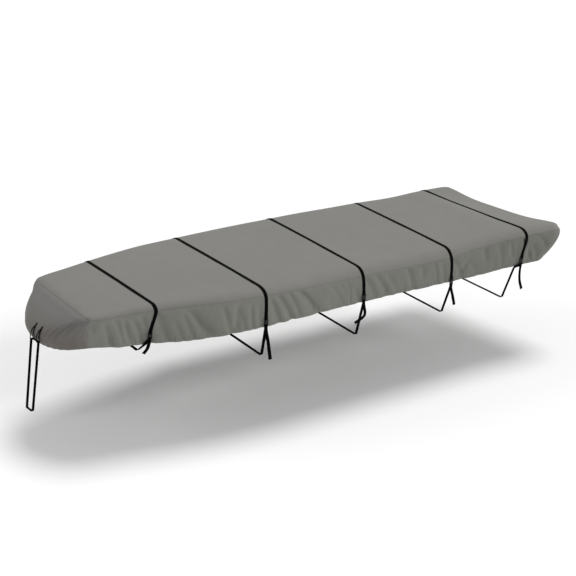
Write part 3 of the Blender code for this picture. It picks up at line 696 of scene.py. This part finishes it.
def webbing_band(name, path, across, width, finish, closed=False, thickness=SCENE_WEBBING):
    """Flat webbing with rounded selvages along a path of points. Its thickness may change along it."""
    path = np.asarray(path, float)
    across = unit(np.broadcast_to(np.asarray(across, float), path.shape))
    if closed:
        tangent = np.roll(path, -1, axis=0) - np.roll(path, 1, axis=0)
    else:
        tangent = np.gradient(path, axis=0)
    normal = unit(np.cross(across, tangent))
    across = unit(np.cross(tangent, normal))
    profile = np.array(PROFILE)
    points = (
        path[:, None]
        + profile[:, 0][None, :, None] * width * across[:, None]
        + profile[:, 1][None, :, None] * np.reshape(thickness, (-1, 1, 1)) * normal[:, None]
    )
    count, ring = points.shape[:2]
    uvs = np.stack(np.broadcast_arrays(travelled(path)[:, None], profile[:, 0] * width), axis=-1)
    faces = []
    for i in range(count if closed else count - 1):
        here, there = ring * i, ring * ((i + 1) % count)
        for j in range(ring):
            k = (j + 1) % ring
            faces.append((here + j, here + k, there + k, there + j))
    if not closed:
        faces.append(range(ring - 1, -1, -1))
        faces.append(range(ring * (count - 1), ring * count))
    made = mesh_from(name, points, faces, uvs, finish)
    made.data.set_sharp_from_angle(angle=math.radians(50))
    reworked(made.data, normals_out)
    return made


def read_off(at, along, values):
    """The values' rows, given along a line, read off at other places on it."""
    return np.stack([np.interp(at, along, values[:, k]) for k in range(values.shape[1])], axis=1)


def even(path, across, pitch):
    """A smooth path through the points at an even pitch, with the directions of its breadth."""
    line = rounded(path, pitch)
    along = travelled(path)
    return line, unit(read_off(np.linspace(0, along[-1], len(line)), along, across))


# ---- materials ----

# Painted light and shade on the skirts and the transom panel: lighter towards the bow and darker towards the
# stern, as the light falls on them, with a slight painted green reflection throughout.
SKIRT_PAINTED_LIGHT_AND_SHADE = {"axis": "X", "from": -0.8, "to": 2.5,
               "start": (1.07, 1.09, 1.055), "end": (0.87, 0.89, 0.86)}
# Painted shade and a painted warm reflection on the bow panel: darker and warmer towards its bottom, which
# faces down.
BOW_PAINTED_SHADE = {"axis": "Z", "from": -0.34, "to": -0.06,
             "start": (0.88, 0.81, 0.79), "end": (0.98, 0.97, 1.0)}
CLOTH_TONES = (
    (0.157, 0.155, 0.143),  # the usual tone
    (0.168, 0.164, 0.151),  # faded
    (0.150, 0.146, 0.135),  # dusty
    (0.185, 0.182, 0.170),  # heather yarns
    (0.105, 0.103, 0.094),  # between the yarns
)
WEBBING_TONES = (
    (0.0012, 0.0012, 0.0013),  # the usual tone
    (0.0032, 0.0031, 0.0031),  # dusty
    (0.0024, 0.0024, 0.0025),  # on its ribs
)
PLASTIC_TONES = ((0.006, 0.006, 0.007), (0.017, 0.017, 0.018))  # usual, scuffed
THREAD_TONES = {"grey thread": (0.155, 0.152, 0.142), "black thread": (0.012, 0.012, 0.013)}
YARN_PITCH = 0.0009
HEATHER_SCALE = (260.0, 900.0, 1.0)
RIB = {"pitch": 0.0022, "cord_pitch": 0.0019, "slant": 0.004}


def new_material(name):
    made = bpy.data.materials.new(name)
    made.use_nodes = True
    return made, made.node_tree


def feed(tree, socket, value):
    """Gives a socket a link, a colour of three shares, or a plain value."""
    if isinstance(value, bpy.types.NodeSocket):
        tree.links.new(value, socket)
    elif socket.type == "RGBA":
        socket.default_value = (*value, 1)
    else:
        socket.default_value = value


def node(tree, kind, inputs=(), **settings):
    made = tree.nodes.new(kind)
    for key, value in settings.items():
        setattr(made, key, value)
    for key, value in dict(inputs).items():
        feed(tree, made.inputs[key], value)
    return made


def maths(tree, operation, *values):
    made = node(tree, "ShaderNodeMath", operation=operation)
    for socket, value in zip(made.inputs, values):
        feed(tree, socket, value)
    return made.outputs[0]


def mixed(tree, factor, first, second):
    made = node(tree, "ShaderNodeMix", data_type="RGBA")
    sockets = {socket.name: socket for socket in made.inputs if socket.enabled}
    for key, value in (("Factor", factor), ("A", first), ("B", second)):
        feed(tree, sockets[key], value)
    return next(socket for socket in made.outputs if socket.enabled)


def noise(tree, vector, scale, detail=3.0, roughness=0.55):
    inputs = {"Vector": vector, "Scale": scale, "Detail": detail, "Roughness": roughness}
    return node(tree, "ShaderNodeTexNoise", inputs).outputs["Fac"]


def ramp(tree, value, low, high):
    """From 0 to 1 as the value goes from low to high, and no further."""
    inputs = {"Value": value, "From Min": low, "From Max": high}
    return node(tree, "ShaderNodeMapRange", inputs, clamp=True).outputs["Result"]


def ramp_to(tree, value, low, high):
    """From low to high as a noise goes from its troughs to its crests."""
    inputs = {"Value": value, "From Min": 0.25, "From Max": 0.75, "To Min": low, "To Max": high}
    return node(tree, "ShaderNodeMapRange", inputs).outputs["Result"]


def layered(tree, colour, layers):
    """The colour with tones laid over it. A layer is a value, the range it is read over, the layer's greatest
    share and its tone."""
    for value, low, high, most, tone in layers:
        share = maths(tree, "MULTIPLY", ramp(tree, value, low, high), most)
        colour = mixed(tree, share, colour, tone)
    return colour


def wave(tree, value, pitch):
    """A sine wave of that pitch."""
    return maths(tree, "SINE", maths(tree, "MULTIPLY", value, math.tau / pitch))


def bump(tree, height, strength, distance, inputs=()):
    inputs = {"Height": height, "Strength": strength, "Distance": distance, **dict(inputs)}
    return node(tree, "ShaderNodeBump", inputs).outputs[0]


def finished(made, inputs):
    """The material, with its shader's inputs set by name."""
    tree = made.node_tree
    for key, value in inputs.items():
        feed(tree, tree.nodes["Principled BSDF"].inputs[key], value)
    return made


def place_on_map(tree):
    """Where a point lies on its piece's map, in metres."""
    return node(tree, "ShaderNodeUVMap", uv_map="cloth").outputs["UV"]


def place_in_piece(tree):
    return node(tree, "ShaderNodeTexCoord").outputs["Object"]


def cloth_material(name, painted_shade=None):
    """The coated cloth, with light and shade painted into its colour as a tint from one end of an axis to the
    other, if asked.
    """
    made, tree = new_material(name)
    uv, place = place_on_map(tree), place_in_piece(tree)
    broad = noise(tree, place, 1.1, 2.0, 0.5)
    middle = noise(tree, place, 7.0, 4.0, 0.6)
    stretched = node(tree, "ShaderNodeMapping", {"Vector": uv, "Scale": HEATHER_SCALE}).outputs[0]
    heather = noise(tree, stretched, 1.0, 2.0)
    split = node(tree, "ShaderNodeSeparateXYZ", {"Vector": uv})
    weave = maths(tree, "MULTIPLY", *(wave(tree, split.outputs[k], 2 * YARN_PITCH) for k in (0, 1)))
    usual, faded, dusty, yarns, between = CLOTH_TONES
    colour = mixed(tree, ramp(tree, broad, 0.3, 0.7), usual, faded)
    colour = layered(tree, colour, (
        (middle, 0.42, 0.75, 0.35, dusty),
        (heather, 0.35, 0.7, 0.28, yarns),
        (weave, -0.2, -1.0, 0.16, between),
    ))
    # Painted light and shade: the colour is multiplied by a tint that changes along the axis, with a little
    # noise.
    if painted_shade:
        along = node(tree, "ShaderNodeSeparateXYZ", {"Vector": place}).outputs[painted_shade["axis"]]
        uneven = maths(tree, "MULTIPLY_ADD", broad, 0.10, maths(tree, "SUBTRACT", along, 0.05))
        share = ramp(tree, uneven, painted_shade["from"], painted_shade["to"])
        painted_tint = mixed(tree, share, painted_shade["start"], painted_shade["end"])
        colour = node(tree, "ShaderNodeVectorMath", {0: colour, 1: painted_tint}, operation="MULTIPLY").outputs[0]
    soft = bump(tree, noise(tree, place, 24.0, 4.0, 0.6), 0.25, 0.004)
    return finished(made, {
        "Base Color": colour,
        "Roughness": ramp_to(tree, middle, 0.80, 0.92),
        "Specular IOR Level": 0.32,
        "Sheen Weight": 0.12,
        "Sheen Roughness": 0.5,
        "Normal": bump(tree, weave, 0.6, 0.00012, {"Normal": soft}),
    })


def webbing_material(name):
    """Ribbed black webbing."""
    made, tree = new_material(name)
    uv, place = place_on_map(tree), place_in_piece(tree)
    split = node(tree, "ShaderNodeSeparateXYZ", {"Vector": uv})
    slant = maths(tree, "PINGPONG", split.outputs[1], RIB["slant"])
    ribs = wave(tree, maths(tree, "ADD", split.outputs[0], slant), RIB["pitch"])
    cords = wave(tree, split.outputs[1], RIB["cord_pitch"])
    height = maths(tree, "ADD", ribs, maths(tree, "MULTIPLY", cords, 0.5))
    dust = noise(tree, place, 6.0, 4.0, 0.65)
    usual, dusty, raised = WEBBING_TONES
    colour = layered(tree, usual, ((dust, 0.45, 0.8, 0.5, dusty), (height, 0.2, 1.3, 0.35, raised)))
    return finished(made, {
        "Base Color": colour,
        "Roughness": ramp_to(tree, dust, 0.55, 0.72),
        "Specular IOR Level": 0.02,
        "Normal": bump(tree, height, 0.7, 0.0002),
    })


def plastic_material(name):
    """Moulded plastic with a fine grain and a few scuffs."""
    made, tree = new_material(name)
    place = place_in_piece(tree)
    grain = noise(tree, place, 900.0, 3.0, 0.6)
    scuff = noise(tree, place, 60.0, 4.0, 0.65)
    usual, scuffed = PLASTIC_TONES
    return finished(made, {
        "Base Color": layered(tree, usual, ((scuff, 0.5, 0.8, 0.5, scuffed),)),
        "Roughness": ramp_to(tree, scuff, 0.34, 0.52),
        "Specular IOR Level": 0.22,
        "Normal": bump(tree, grain, 0.25, 0.00008),
    })


def thread_material(name, tone):
    made, tree = new_material(name)
    dark = tuple(0.8 * share for share in tone)
    colour = mixed(tree, noise(tree, place_in_piece(tree), 300.0, 2.0), dark, tone)
    return finished(made, {"Base Color": colour, "Roughness": 0.6})


# ---- buckles ----

SLOT_CORNER = 0.0012


def plate(outline, holes, low, high, bevel):
    """A flat plate with holes and rounded edges, between two heights. Outlines are in across and down."""
    work = bmesh.new()
    edges = []
    for loop in (outline, *holes):
        corners = [work.verts.new((across, down, low)) for across, down in loop]
        edges += [work.edges.new(pair) for pair in zip(corners, corners[1:] + corners[:1])]
    filled = bmesh.ops.triangle_fill(work, use_beauty=True, use_dissolve=False, edges=edges)
    faces = [part for part in filled["geom"] if isinstance(part, bmesh.types.BMFace)]
    raised = bmesh.ops.extrude_face_region(work, geom=faces)["geom"]
    top = [part for part in raised if isinstance(part, bmesh.types.BMVert)]
    bmesh.ops.translate(work, vec=(0, 0, high - low), verts=top)
    normals_out(work)
    mesh = bpy.data.meshes.new("plate")
    work.to_mesh(mesh)
    work.free()
    made = linked("plate", mesh)
    round_off = made.modifiers.new("edges", "BEVEL")
    round_off.width, round_off.segments, round_off.limit_method = bevel, 2, "ANGLE"
    round_off.angle_limit = math.radians(40)
    return made


def merged(parts):
    """One mesh of the parts, joined where they overlap."""
    first, *others = parts
    for other in others:
        union = first.modifiers.new("union", "BOOLEAN")
        union.operation, union.solver, union.object = "UNION", "EXACT", other
    graph = bpy.context.evaluated_depsgraph_get()
    mesh = bpy.data.meshes.new_from_object(first.evaluated_get(graph))
    for part in parts:
        bpy.data.objects.remove(part)
    return mesh


def loop_of(half_outline):
    """A closed outline from its starboard half, mirrored."""
    return list(half_outline) + [(-across, down) for across, down in reversed(half_outline)]


def slot_outline(half, top, bottom):
    """A slot with small cut corners."""
    near = half - SLOT_CORNER
    outline = loop_of([(near, top), (half, top + SLOT_CORNER), (half, bottom - SLOT_CORNER), (near, bottom)])
    return outline[1:] + outline[:1]


def buckle_mesh(finish):
    """A side-release buckle, closed: the housing above, and the half with the latches below it. x is across,
    y is down and z is out of the cloth, from the buckle's lower end on its inner face."""
    wide = BUCKLE["width"] / 2
    housing = loop_of([(0.0165, -0.060), (0.0195, -0.0585), (wide, -0.056), (wide, -0.0425),
                       (0.0175, -0.0405), (0.0165, -0.037), (0.0165, -0.029), (0.0178, -0.0262),
                       (0.0186, -0.0235), (0.0165, -0.0225)])
    raised = loop_of([(0.0105, -0.0465), (0.0135, -0.0445), (0.0135, -0.0290), (0.0105, -0.0265)])
    lower_frame = loop_of([(0.0185, -0.0215), (wide, -0.0195), (wide, -0.0015), (0.0190, 0.0)])
    neck = loop_of([(0.0150, -0.0232), (0.0150, -0.0190)])
    arm = ((0.0120, -0.0205), (0.0160, -0.0205), (0.0190, -0.0275), (0.0203, -0.0320), (0.0200, -0.0370),
           (0.0180, -0.0398), (0.0165, -0.0385), (0.0172, -0.0335), (0.0158, -0.0280))
    arms = [[(side * across, down) for across, down in arm] for side in (-1, 1)]
    slots = [slot_outline(0.0172, -0.0172, -0.0112), slot_outline(0.0172, -0.0078, -0.0030)]
    strap_slot = slot_outline(0.0170, -0.0565, -0.0500)
    upper = merged([
        plate(housing, [strap_slot], low=0.0008, high=0.0082, bevel=0.0013),
        plate(raised, [], low=0.006, high=0.0090, bevel=0.0012),
    ])
    lower = merged([
        plate(lower_frame, slots, low=0.0012, high=0.0074, bevel=0.0011),
        plate(neck, [], low=0.0022, high=0.0066, bevel=0.0006),
        *(plate(outline, [], low=0.0026, high=0.0066, bevel=0.0007) for outline in arms),
    ])
    reworked(upper, lambda work: work.from_mesh(lower))
    upper.name = "buckle"
    upper.materials.clear()
    upper.materials.append(finish)
    upper.shade_smooth()
    upper.set_sharp_from_angle(angle=math.radians(38))
    return upper


def buckle_place(run, start):
    foot, along, facing, down = buckle_frame(run, start)
    across = along if np.dot(np.cross(along, down), facing) > 0 else -along
    turn = Matrix([list(row) for row in np.stack([across, down, facing], axis=1)]).to_4x4()
    return Matrix.Translation(Vector(foot)) @ turn


# ---- webbing ----

OVER_FALLS = {"first": 0.03, "short": 0.12}  # an over strap lies on a skirt up to that short of its buckle
OVER_BAR = 0.0582  # from a buckle's lower end up to the bar its over strap turns round
OVER_TURN = ((-0.010, 0.0026), (-0.0012, 0.0030), (0.0026, 0.0012),  # down and outwards from that bar
             (0.0026, -0.0012), (-0.0012, -0.0030), (-0.012, -0.0030))
OVER_TAIL = {"short": 0.10, "lift": 0.0016}  # where it ends, under itself
OVER_PITCH = 0.0045


def over_strap_path(x, port_aft, buckle):
    """The line of an over strap's middle from port to starboard, and the directions of its breadth."""
    lift = STRAP_LIFT + WEBBING / 2
    halves = []
    for side in (-1, 1):
        run = side * run_at(x - side * port_aft)
        foot, along, facing, drop = buckle_frame(run, buckle)
        falls = np.linspace(OVER_FALLS["first"], buckle - OVER_FALLS["short"], 9)
        bar = foot - OVER_BAR * drop + BUCKLE["thickness"] / 2 * facing
        turn = [bar + down * drop + out * facing for down, out in OVER_TURN]
        tail = stood_off(run, [buckle - OVER_TAIL["short"]], OVER_TAIL["lift"])[0]
        edge = unit(wall(run + STEP, falls) - wall(run, falls)) * side
        points = np.concatenate([stood_off(run, falls, lift)[0], turn, tail])
        halves.append((points, np.concatenate([edge, np.tile(along, (len(turn) + 1, 1))])))
    rows = rows_across(14, 9)
    run = run_at(x - port_aft * np.clip(rows, -1, 1))
    over = deck(run, rows) + normals(deck, run, rows) * lift
    along = unit(deck(run + STEP, rows) - deck(run, rows))
    path = np.concatenate([halves[0][0][::-1], over, halves[1][0]])
    across = np.concatenate([halves[0][1][::-1], along, halves[1][1]])
    return path, across


def softened(points, wide, radius, pitch):
    """A line through the points with rounded corners, with no step longer than pitch, and the directions of
    its breadth."""
    points, wide = np.asarray(points, float), unit(wide)
    line = [[*points[0], *wide[0]]]
    for before, corner, after, across in zip(points, points[1:], points[2:], wide[1:]):
        back, on = (min(radius, 0.45 * np.linalg.norm(other - corner)) for other in (before, after))
        start, end = corner + unit(before - corner) * back, corner + unit(after - corner) * on
        for t in np.linspace(0, 1, 6):
            line.append([*(start * (1 - t) ** 2 + 2 * corner * t * (1 - t) + end * t**2), *across])
    line = np.array([*line, [*points[-1], *wide[-1]]])
    full = [line[:1]]
    for here, there in zip(line, line[1:]):
        count = max(1, math.ceil(np.linalg.norm((there - here)[:3]) / pitch))
        full.append(here + (there - here) * np.arange(1, count + 1)[:, None] / count)
    full = np.concatenate(full)
    return full[:, :3], unit(full[:, 3:])


# A tail's end folded back under it: how far on past the end, and how far inwards.
TAIL_FOLD = ((-0.020, 0.0019), (-0.006, 0.0019), (0.0006, 0.0015), (0.0012, 0.0009))
TAIL_PITCH = 0.006
TAIL_STRAIGHT = 4  # how many points of a tail keep the buckle's direction
# Round a buckle's lower bar: how far down from its lower end, and how far out of the cloth.
BAR_TURN = ((0.0, 0.0085), (-0.0055, 0.0088), (-0.0105, 0.0087), (-0.0131, 0.0072), (-0.0141, 0.0044),
            (-0.0131, 0.0014), (-0.0105, 0.0001), (-0.0045, 0.0001))
LEG_START = (0.012, 0.0016)  # the same two measures, where the leg sets off
LEG_CORNER = {"radius": 0.010, "pitch": 0.03}
CHINE_CORNER = {"radius": 0.012, "pitch": 0.05}


def belly_half(row, side):
    """Half a belly strap: its line from the tail's end, up to the buckle, round its bar and down the hull's
    side to the chine, and the directions of its breadth."""
    x, port_aft, buckle, chine, tail = row
    x = x - side * port_aft
    foot, along, facing, down = buckle_frame(side * run_at(x), buckle)
    mirror = np.array([1, side, 1])
    chine, tail = np.array(chine) * mirror, np.array(tail) * mirror

    def local(y, z):
        return foot + y * down + z * facing

    top = local(END_GAP, TAIL_DEPTH)
    hanging = rounded([top, top + TAIL_START * down, *tail], TAIL_PITCH)[::-1]
    forward = unit(hanging[0] - hanging[1])
    inward = unit(np.cross(forward, along)) * side
    fold = [hanging[0] + forward * on + inward * away for on, away in TAIL_FOLD]
    upper = np.array([*fold, *hanging, *(local(y, z) for y, z in BAR_TURN)])
    sideways = unit(np.cross(np.gradient(upper, axis=0), facing))
    sideways *= np.sign(sideways @ along)[:, None]
    first, last = len(fold), len(fold) + len(hanging) - TAIL_STRAIGHT
    wide = np.tile(along, (len(upper), 1))
    wide[first:last] = sideways[first:last]
    wide[:first] = wide[first]
    leg = [local(*LEG_START)]
    corner = wall(side * run_at(x + (chine[0] - x) * HEM_TURN["share"]), 1)
    corner += HEM_TURN["lift"] * facing + HEM_TURN["drop"] * down
    if np.dot(corner - local(END_GAP, LEG_DEPTH), down) > HEM_TURN["drop"]:
        leg.append(corner)
    breadths = [along] * (len(leg) + 1) + [(1, 0, 0)]
    lower, lower_wide = softened([upper[-1], *leg, chine], breadths, **LEG_CORNER)
    if np.dot(lower_wide[-1], along) < 0:
        lower_wide[1:] = -lower_wide[1:]
    wide = np.concatenate([wide, lower_wide[1:]])
    return np.concatenate([upper, lower[1:]]), wide * np.sign(wide[0, 0])


def add_belly_strap(number, row, finish):
    """A belly strap with both its tails. It passes under the hull from chine to chine."""
    port, port_wide = belly_half(row, -1)
    starboard, starboard_wide = belly_half(row, 1)
    chines = np.array([row[3]]) * ((1, -1, 1), (1, 1, 1))
    under, under_wide = softened([port[-2], *chines, starboard[-2]], [(1, 0, 0)] * 4, **CHINE_CORNER)
    line = np.concatenate([port[:-1], under[1:-1], starboard[-2::-1]])
    wide = np.concatenate([port_wide[:-1], under_wide[1:-1], starboard_wide[-2::-1]])
    made = webbing_band(f"belly_strap_{number}", line, wide, STRAP_WIDTH, finish)
    nodes = [f"belly_{number}_{part}_{word}" for word in ("port", "starboard") for part in ("leg", "tail")]
    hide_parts(f"belly_{number}_run", *nodes)
    return made


# How far a loop's layers stand off the bow panel. The outer one's height comes on top.
LOOP_LAYERS = {"inner": 0.0013, "tab": 0.0033, "outer": 0.003}
LOOP_TAB = {"above": 0.03, "below": 0.01}  # the tab's reach past the seat's first place
LOOP_PITCH = 0.004


def add_nose_loop(word, run, finish):
    """A nose loop: its inner layer, its eye, its outer layer and the tab over both. Returns its eye too."""
    falls = np.linspace(LOOP_SEAT[0] - LOOP_TAB["above"], LOOP_SEAT[1], 11)
    near = stood_off(run, falls, LOOP_LAYERS["inner"], fine_wall)[0]
    tab = stood_off(run, falls, LOOP_LAYERS["tab"], fine_wall)[0][falls < LOOP_SEAT[0] + LOOP_TAB["below"]]
    heights, rise = np.array(LOOP_RISE).T
    far = stood_off(run, heights, LOOP_LAYERS["outer"] + rise)[0]
    base, facing = (rows[0] for rows in stood_off(run, [LOOP_EYE], HEM_CLEARANCE + WEBBING / 2))
    out = unit(facing * (1, 0, 1))
    down = np.array([-out[2], 0, out[0]])
    eye = base + out * (LOOP_RADIUS + END_GAP)
    turns = np.radians(np.linspace(*EYE_TURNS, 17))[:, None]
    ring = eye + LOOP_RADIUS * (np.cos(turns) * down + np.sin(turns) * out)
    path = np.concatenate([near, ring, far, tab[::-1]])
    path, wide = even(path, np.tile((0.0, 1.0, 0.0), (len(path), 1)), LOOP_PITCH)
    made = webbing_band(f"loop_{word}", path, wide, LOOP_WIDTH, finish)
    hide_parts(f"nose_loop_{word}")
    return made, eye


def add_bow_tie(port_eye, starboard_eye, finish):
    """The tie through both loops' eyes and under the trailer's tongue."""
    spare = np.array([0, TIE_SPARE, 0])
    corners = np.array([port_eye - spare, starboard_eye + spare, *TIE_FEET])
    path = []
    for before, corner, after in zip(np.roll(corners, 1, axis=0), corners, np.roll(corners, -1, axis=0)):
        back, on = unit(before - corner) * TIE_CORNER, unit(after - corner) * TIE_CORNER
        path += [corner + back * (1 - t) ** 2 + on * t**2 for t in np.linspace(0, 1, 8)]
    made = webbing_band("tie_down_strap", path, (1, 0, 0), TIE_WIDTH, finish, closed=True)
    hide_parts("bow_tie")
    return made


# ---- sewing ----

STITCH = {"pitch": 0.0065, "length": 0.0046, "width": 0.0009, "height": 0.0005, "depth": 0.0003}
STITCH_CORNERS = [(k, (k + 1) % 4, 4) for k in range(4)] + [((k + 1) % 4, k, 5) for k in range(4)]
SEAM_SEWING = {"falls": (0.012, 0.024), "lift": 0.0005}
HEM_SEWING = {"fall": 0.931, "lift": 0.0002}
STRAP_SEWING = 0.0125  # from a strap's middle to its rows of stitches
SEWING_PITCH = 0.004  # between the points of the seam's and the hem's lines
AIM = 0.001  # how far either way along its line a stitch's direction is taken


def stitches(name, lines, finish):
    """Stitches as small lens-shaped bodies along lines of points with their normals."""
    points = []
    for line, facing in lines:
        along = travelled(line)
        at = np.arange(STITCH["pitch"] / 2, along[-1], STITCH["pitch"])
        middle, up = read_off(at, along, line), unit(read_off(at, along, facing))
        on = unit(read_off(at + AIM, along, line) - read_off(at - AIM, along, line))
        aside = unit(np.cross(up, on)) * STITCH["width"] / 2
        on = on * STITCH["length"] / 2
        ring = [middle - on, middle - aside, middle + on, middle + aside]
        ends = [middle + up * STITCH["height"], middle - up * STITCH["depth"]]
        points.append(np.stack(ring + ends, axis=1))
    points = np.concatenate(points)
    faces = 6 * np.arange(len(points))[:, None, None] + np.array(STITCH_CORNERS)
    made = mesh_from(name, points, faces.reshape(-1, 3), None, finish)
    reworked(made.data, normals_out)
    return made


def over_strap_sewing(path, across, thickness):
    """The two lines of stitches on an over strap, each with its normals."""
    facing = unit(np.cross(across, np.gradient(path, axis=0)))
    facing *= np.sign(facing[len(facing) // 2][2])
    middle = path + facing * thickness[:, None] / 2
    inner = slice(len(path) // 9, -(len(path) // 9))
    return [((middle + across * away)[inner], facing[inner]) for away in (-STRAP_SEWING, STRAP_SEWING)]


# ---- the pieces ----

def keep(piece):
    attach(piece, "root")
    return piece


def add_cloths():
    """The five panels."""
    cloth = cloth_material("coated cloth")
    # painted light and shade: the skirts' and transom's copy of the cloth, lighter to the fore and darker aft
    sides = cloth_material("coated cloth, sides, with painted shade", SKIRT_PAINTED_LIGHT_AND_SHADE)
    # painted shade and warm reflection: the bow panel's copy of the cloth, darker and warmer low down
    front = cloth_material("coated cloth, bow, with painted shade", BOW_PAINTED_SHADE)
    start, end, middle = RUN["bow corner"], RUN["stern corner"], RUN["transom middle"]
    straps_at = [run_at(x + away) for x, *_ in STRAPS for away in (-STRAP_WIDTH / 2, 0, STRAP_WIDTH / 2)]
    run = spaced(start, end, PITCH_FINE, straps_at)
    run_stern = np.linspace(end, middle, TRANSOM_COLUMNS)
    deck_cloth = add_deck_cloth("deck_cloth", cloth)
    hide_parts("deck_panel")
    port = add_wall_cloth("skirt_cloth_port", [-run[::-1]], (0, -1, 0), sides)
    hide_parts("skirt_port")
    starboard = add_wall_cloth("skirt_cloth_starboard", [run], (0, 1, 0), sides)
    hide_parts("skirt_starboard")
    bow = add_wall_cloth("bow_cloth", [spaced(-start, start, PITCH_FINE)], (-1, 0, 0), front)
    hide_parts("bow_panel")
    transom = add_wall_cloth("transom_cloth", [-run_stern, run_stern[-2::-1]], (1, 0, 0), sides, rows=20)
    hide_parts("transom_panel")
    return [keep(piece) for piece in (deck_cloth, port, starboard, bow, transom)]


def add_over_strap(number, row, finish):
    """An over strap, and its lines of stitches."""
    path, across = even(*over_strap_path(*row[:3]), OVER_PITCH)
    along = travelled(path)
    doubled = ease(np.minimum(along, along[-1] - along), 0.5 * OVER_STRAP_END, OVER_STRAP_END)
    thickness = SCENE_WEBBING + (OVER_STRAP - SCENE_WEBBING) * doubled
    strap = webbing_band(f"strap_{number}", path, across, STRAP_WIDTH, finish, thickness=thickness)
    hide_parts(f"over_strap_{number}")
    return strap, over_strap_sewing(path, across, thickness)


def add_straps_and_sewing():
    """Everything but the cloths. Returns the sewing round the deck panel's edge."""
    webbing = webbing_material("black webbing")
    thread, dark_thread = (thread_material(*row) for row in THREAD_TONES.items())
    buckle_shape = buckle_mesh(plastic_material("black acetal"))
    lines = []
    for number, row in enumerate(STRAPS, 1):
        strap, sewing = add_over_strap(number, row, webbing)
        keep(strap)
        lines += sewing
        keep(add_belly_strap(number, row, webbing))
        x, port_aft, start = row[:3]
        for side, word in ((-1, "port"), (1, "starboard")):
            made = linked(f"side_release_{number}_{word}", buckle_shape)
            made.matrix_world = buckle_place(side * run_at(x - side * port_aft), start)
            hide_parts(f"buckle_{number}_{word}")
            keep(made)
    eyes = []
    for word, run in LOOP_RUNS.items():
        loop, eye = add_nose_loop(word, run, webbing)
        keep(loop)
        eyes.append(eye)
    keep(add_bow_tie(*eyes, webbing))
    around = spaced(-RUN["transom middle"], RUN["transom middle"], SEWING_PITCH)
    rows = [stood_off(around, fall, SEAM_SEWING["lift"], fine_wall) for fall in SEAM_SEWING["falls"]]
    top_sewing = keep(stitches("seam_stitches", rows, thread))
    hem = stood_off(around, HEM_SEWING["fall"], HEM_SEWING["lift"], fine_wall)
    keep(stitches("hem_stitches", [hem], thread))
    keep(stitches("strap_stitches", lines, dark_thread))
    return top_sewing


# ---- camera, lights and floor ----

CAMERA = {"place": (-6.906, -10.643, 4.468), "azimuth": 31.95, "fall": 21.32, "roll": 0.13, "lens": 87.35}
FLOOR_Z = -1.27
FLOOR_REACH = 60.0
FLOOR_PAINT = {"Base Color": (0.86, 0.86, 0.86), "Roughness": 0.9, "Specular IOR Level": 0.1}
SKY = 0.37
LIGHTS = {
    "high": {"energy": 1.92, "angle": 25, "towards": (-0.325, -0.187, -0.927)},
    "fore": {"energy": 1.48, "angle": 20, "towards": (-0.62, 0.63, -0.46)},
    "left": {"energy": 0.40, "angle": 20, "towards": (0.70, -0.50, -0.50)},
}


def pointed(name, data, towards, roll=0.0):
    """An object that looks along a direction, rolled by that many degrees."""
    made = linked(name, data)
    made.rotation_mode = "QUATERNION"
    turn = Vector(towards).to_track_quat("-Z", "Y")
    made.rotation_quaternion = turn @ Matrix.Rotation(math.radians(roll), 3, "Z").to_quaternion()
    return made


def add_camera():
    data = bpy.data.cameras.new("camera")
    data.sensor_width, data.lens = 36, CAMERA["lens"]
    data.clip_start, data.clip_end = 0.1, 400
    azimuth, fall = math.radians(CAMERA["azimuth"]), math.radians(CAMERA["fall"])
    look = (math.sin(azimuth) * math.cos(fall), math.cos(azimuth) * math.cos(fall), -math.sin(fall))
    made = pointed("camera", data, look, CAMERA["roll"])
    made.location = CAMERA["place"]
    bpy.context.scene.camera = made


def add_studio():
    scene = bpy.context.scene
    scene.view_settings.view_transform = "Standard"
    scene.world = bpy.data.worlds.new("studio")
    scene.world.use_nodes = True
    back = scene.world.node_tree.nodes["Background"]
    back.inputs["Color"].default_value = (1.0, 1.0, 1.0, 1)
    back.inputs["Strength"].default_value = SKY
    for name, light in LIGHTS.items():
        sun = bpy.data.lights.new(name, "SUN")
        sun.energy, sun.angle = light["energy"], math.radians(light["angle"])
        pointed(name, sun, light["towards"])
    paint = finished(new_material("white floor")[0], FLOOR_PAINT)
    ways = ((-1, -1), (1, -1), (1, 1), (-1, 1))
    corners = [(x * FLOOR_REACH, y * FLOOR_REACH, FLOOR_Z) for x, y in ways]
    floor = mesh_from("floor", corners, [(0, 1, 2, 3)], None, paint)


add_camera()
add_studio()
deck_cloth, port, starboard, bow, transom = add_cloths()
top_sewing = add_straps_and_sewing()
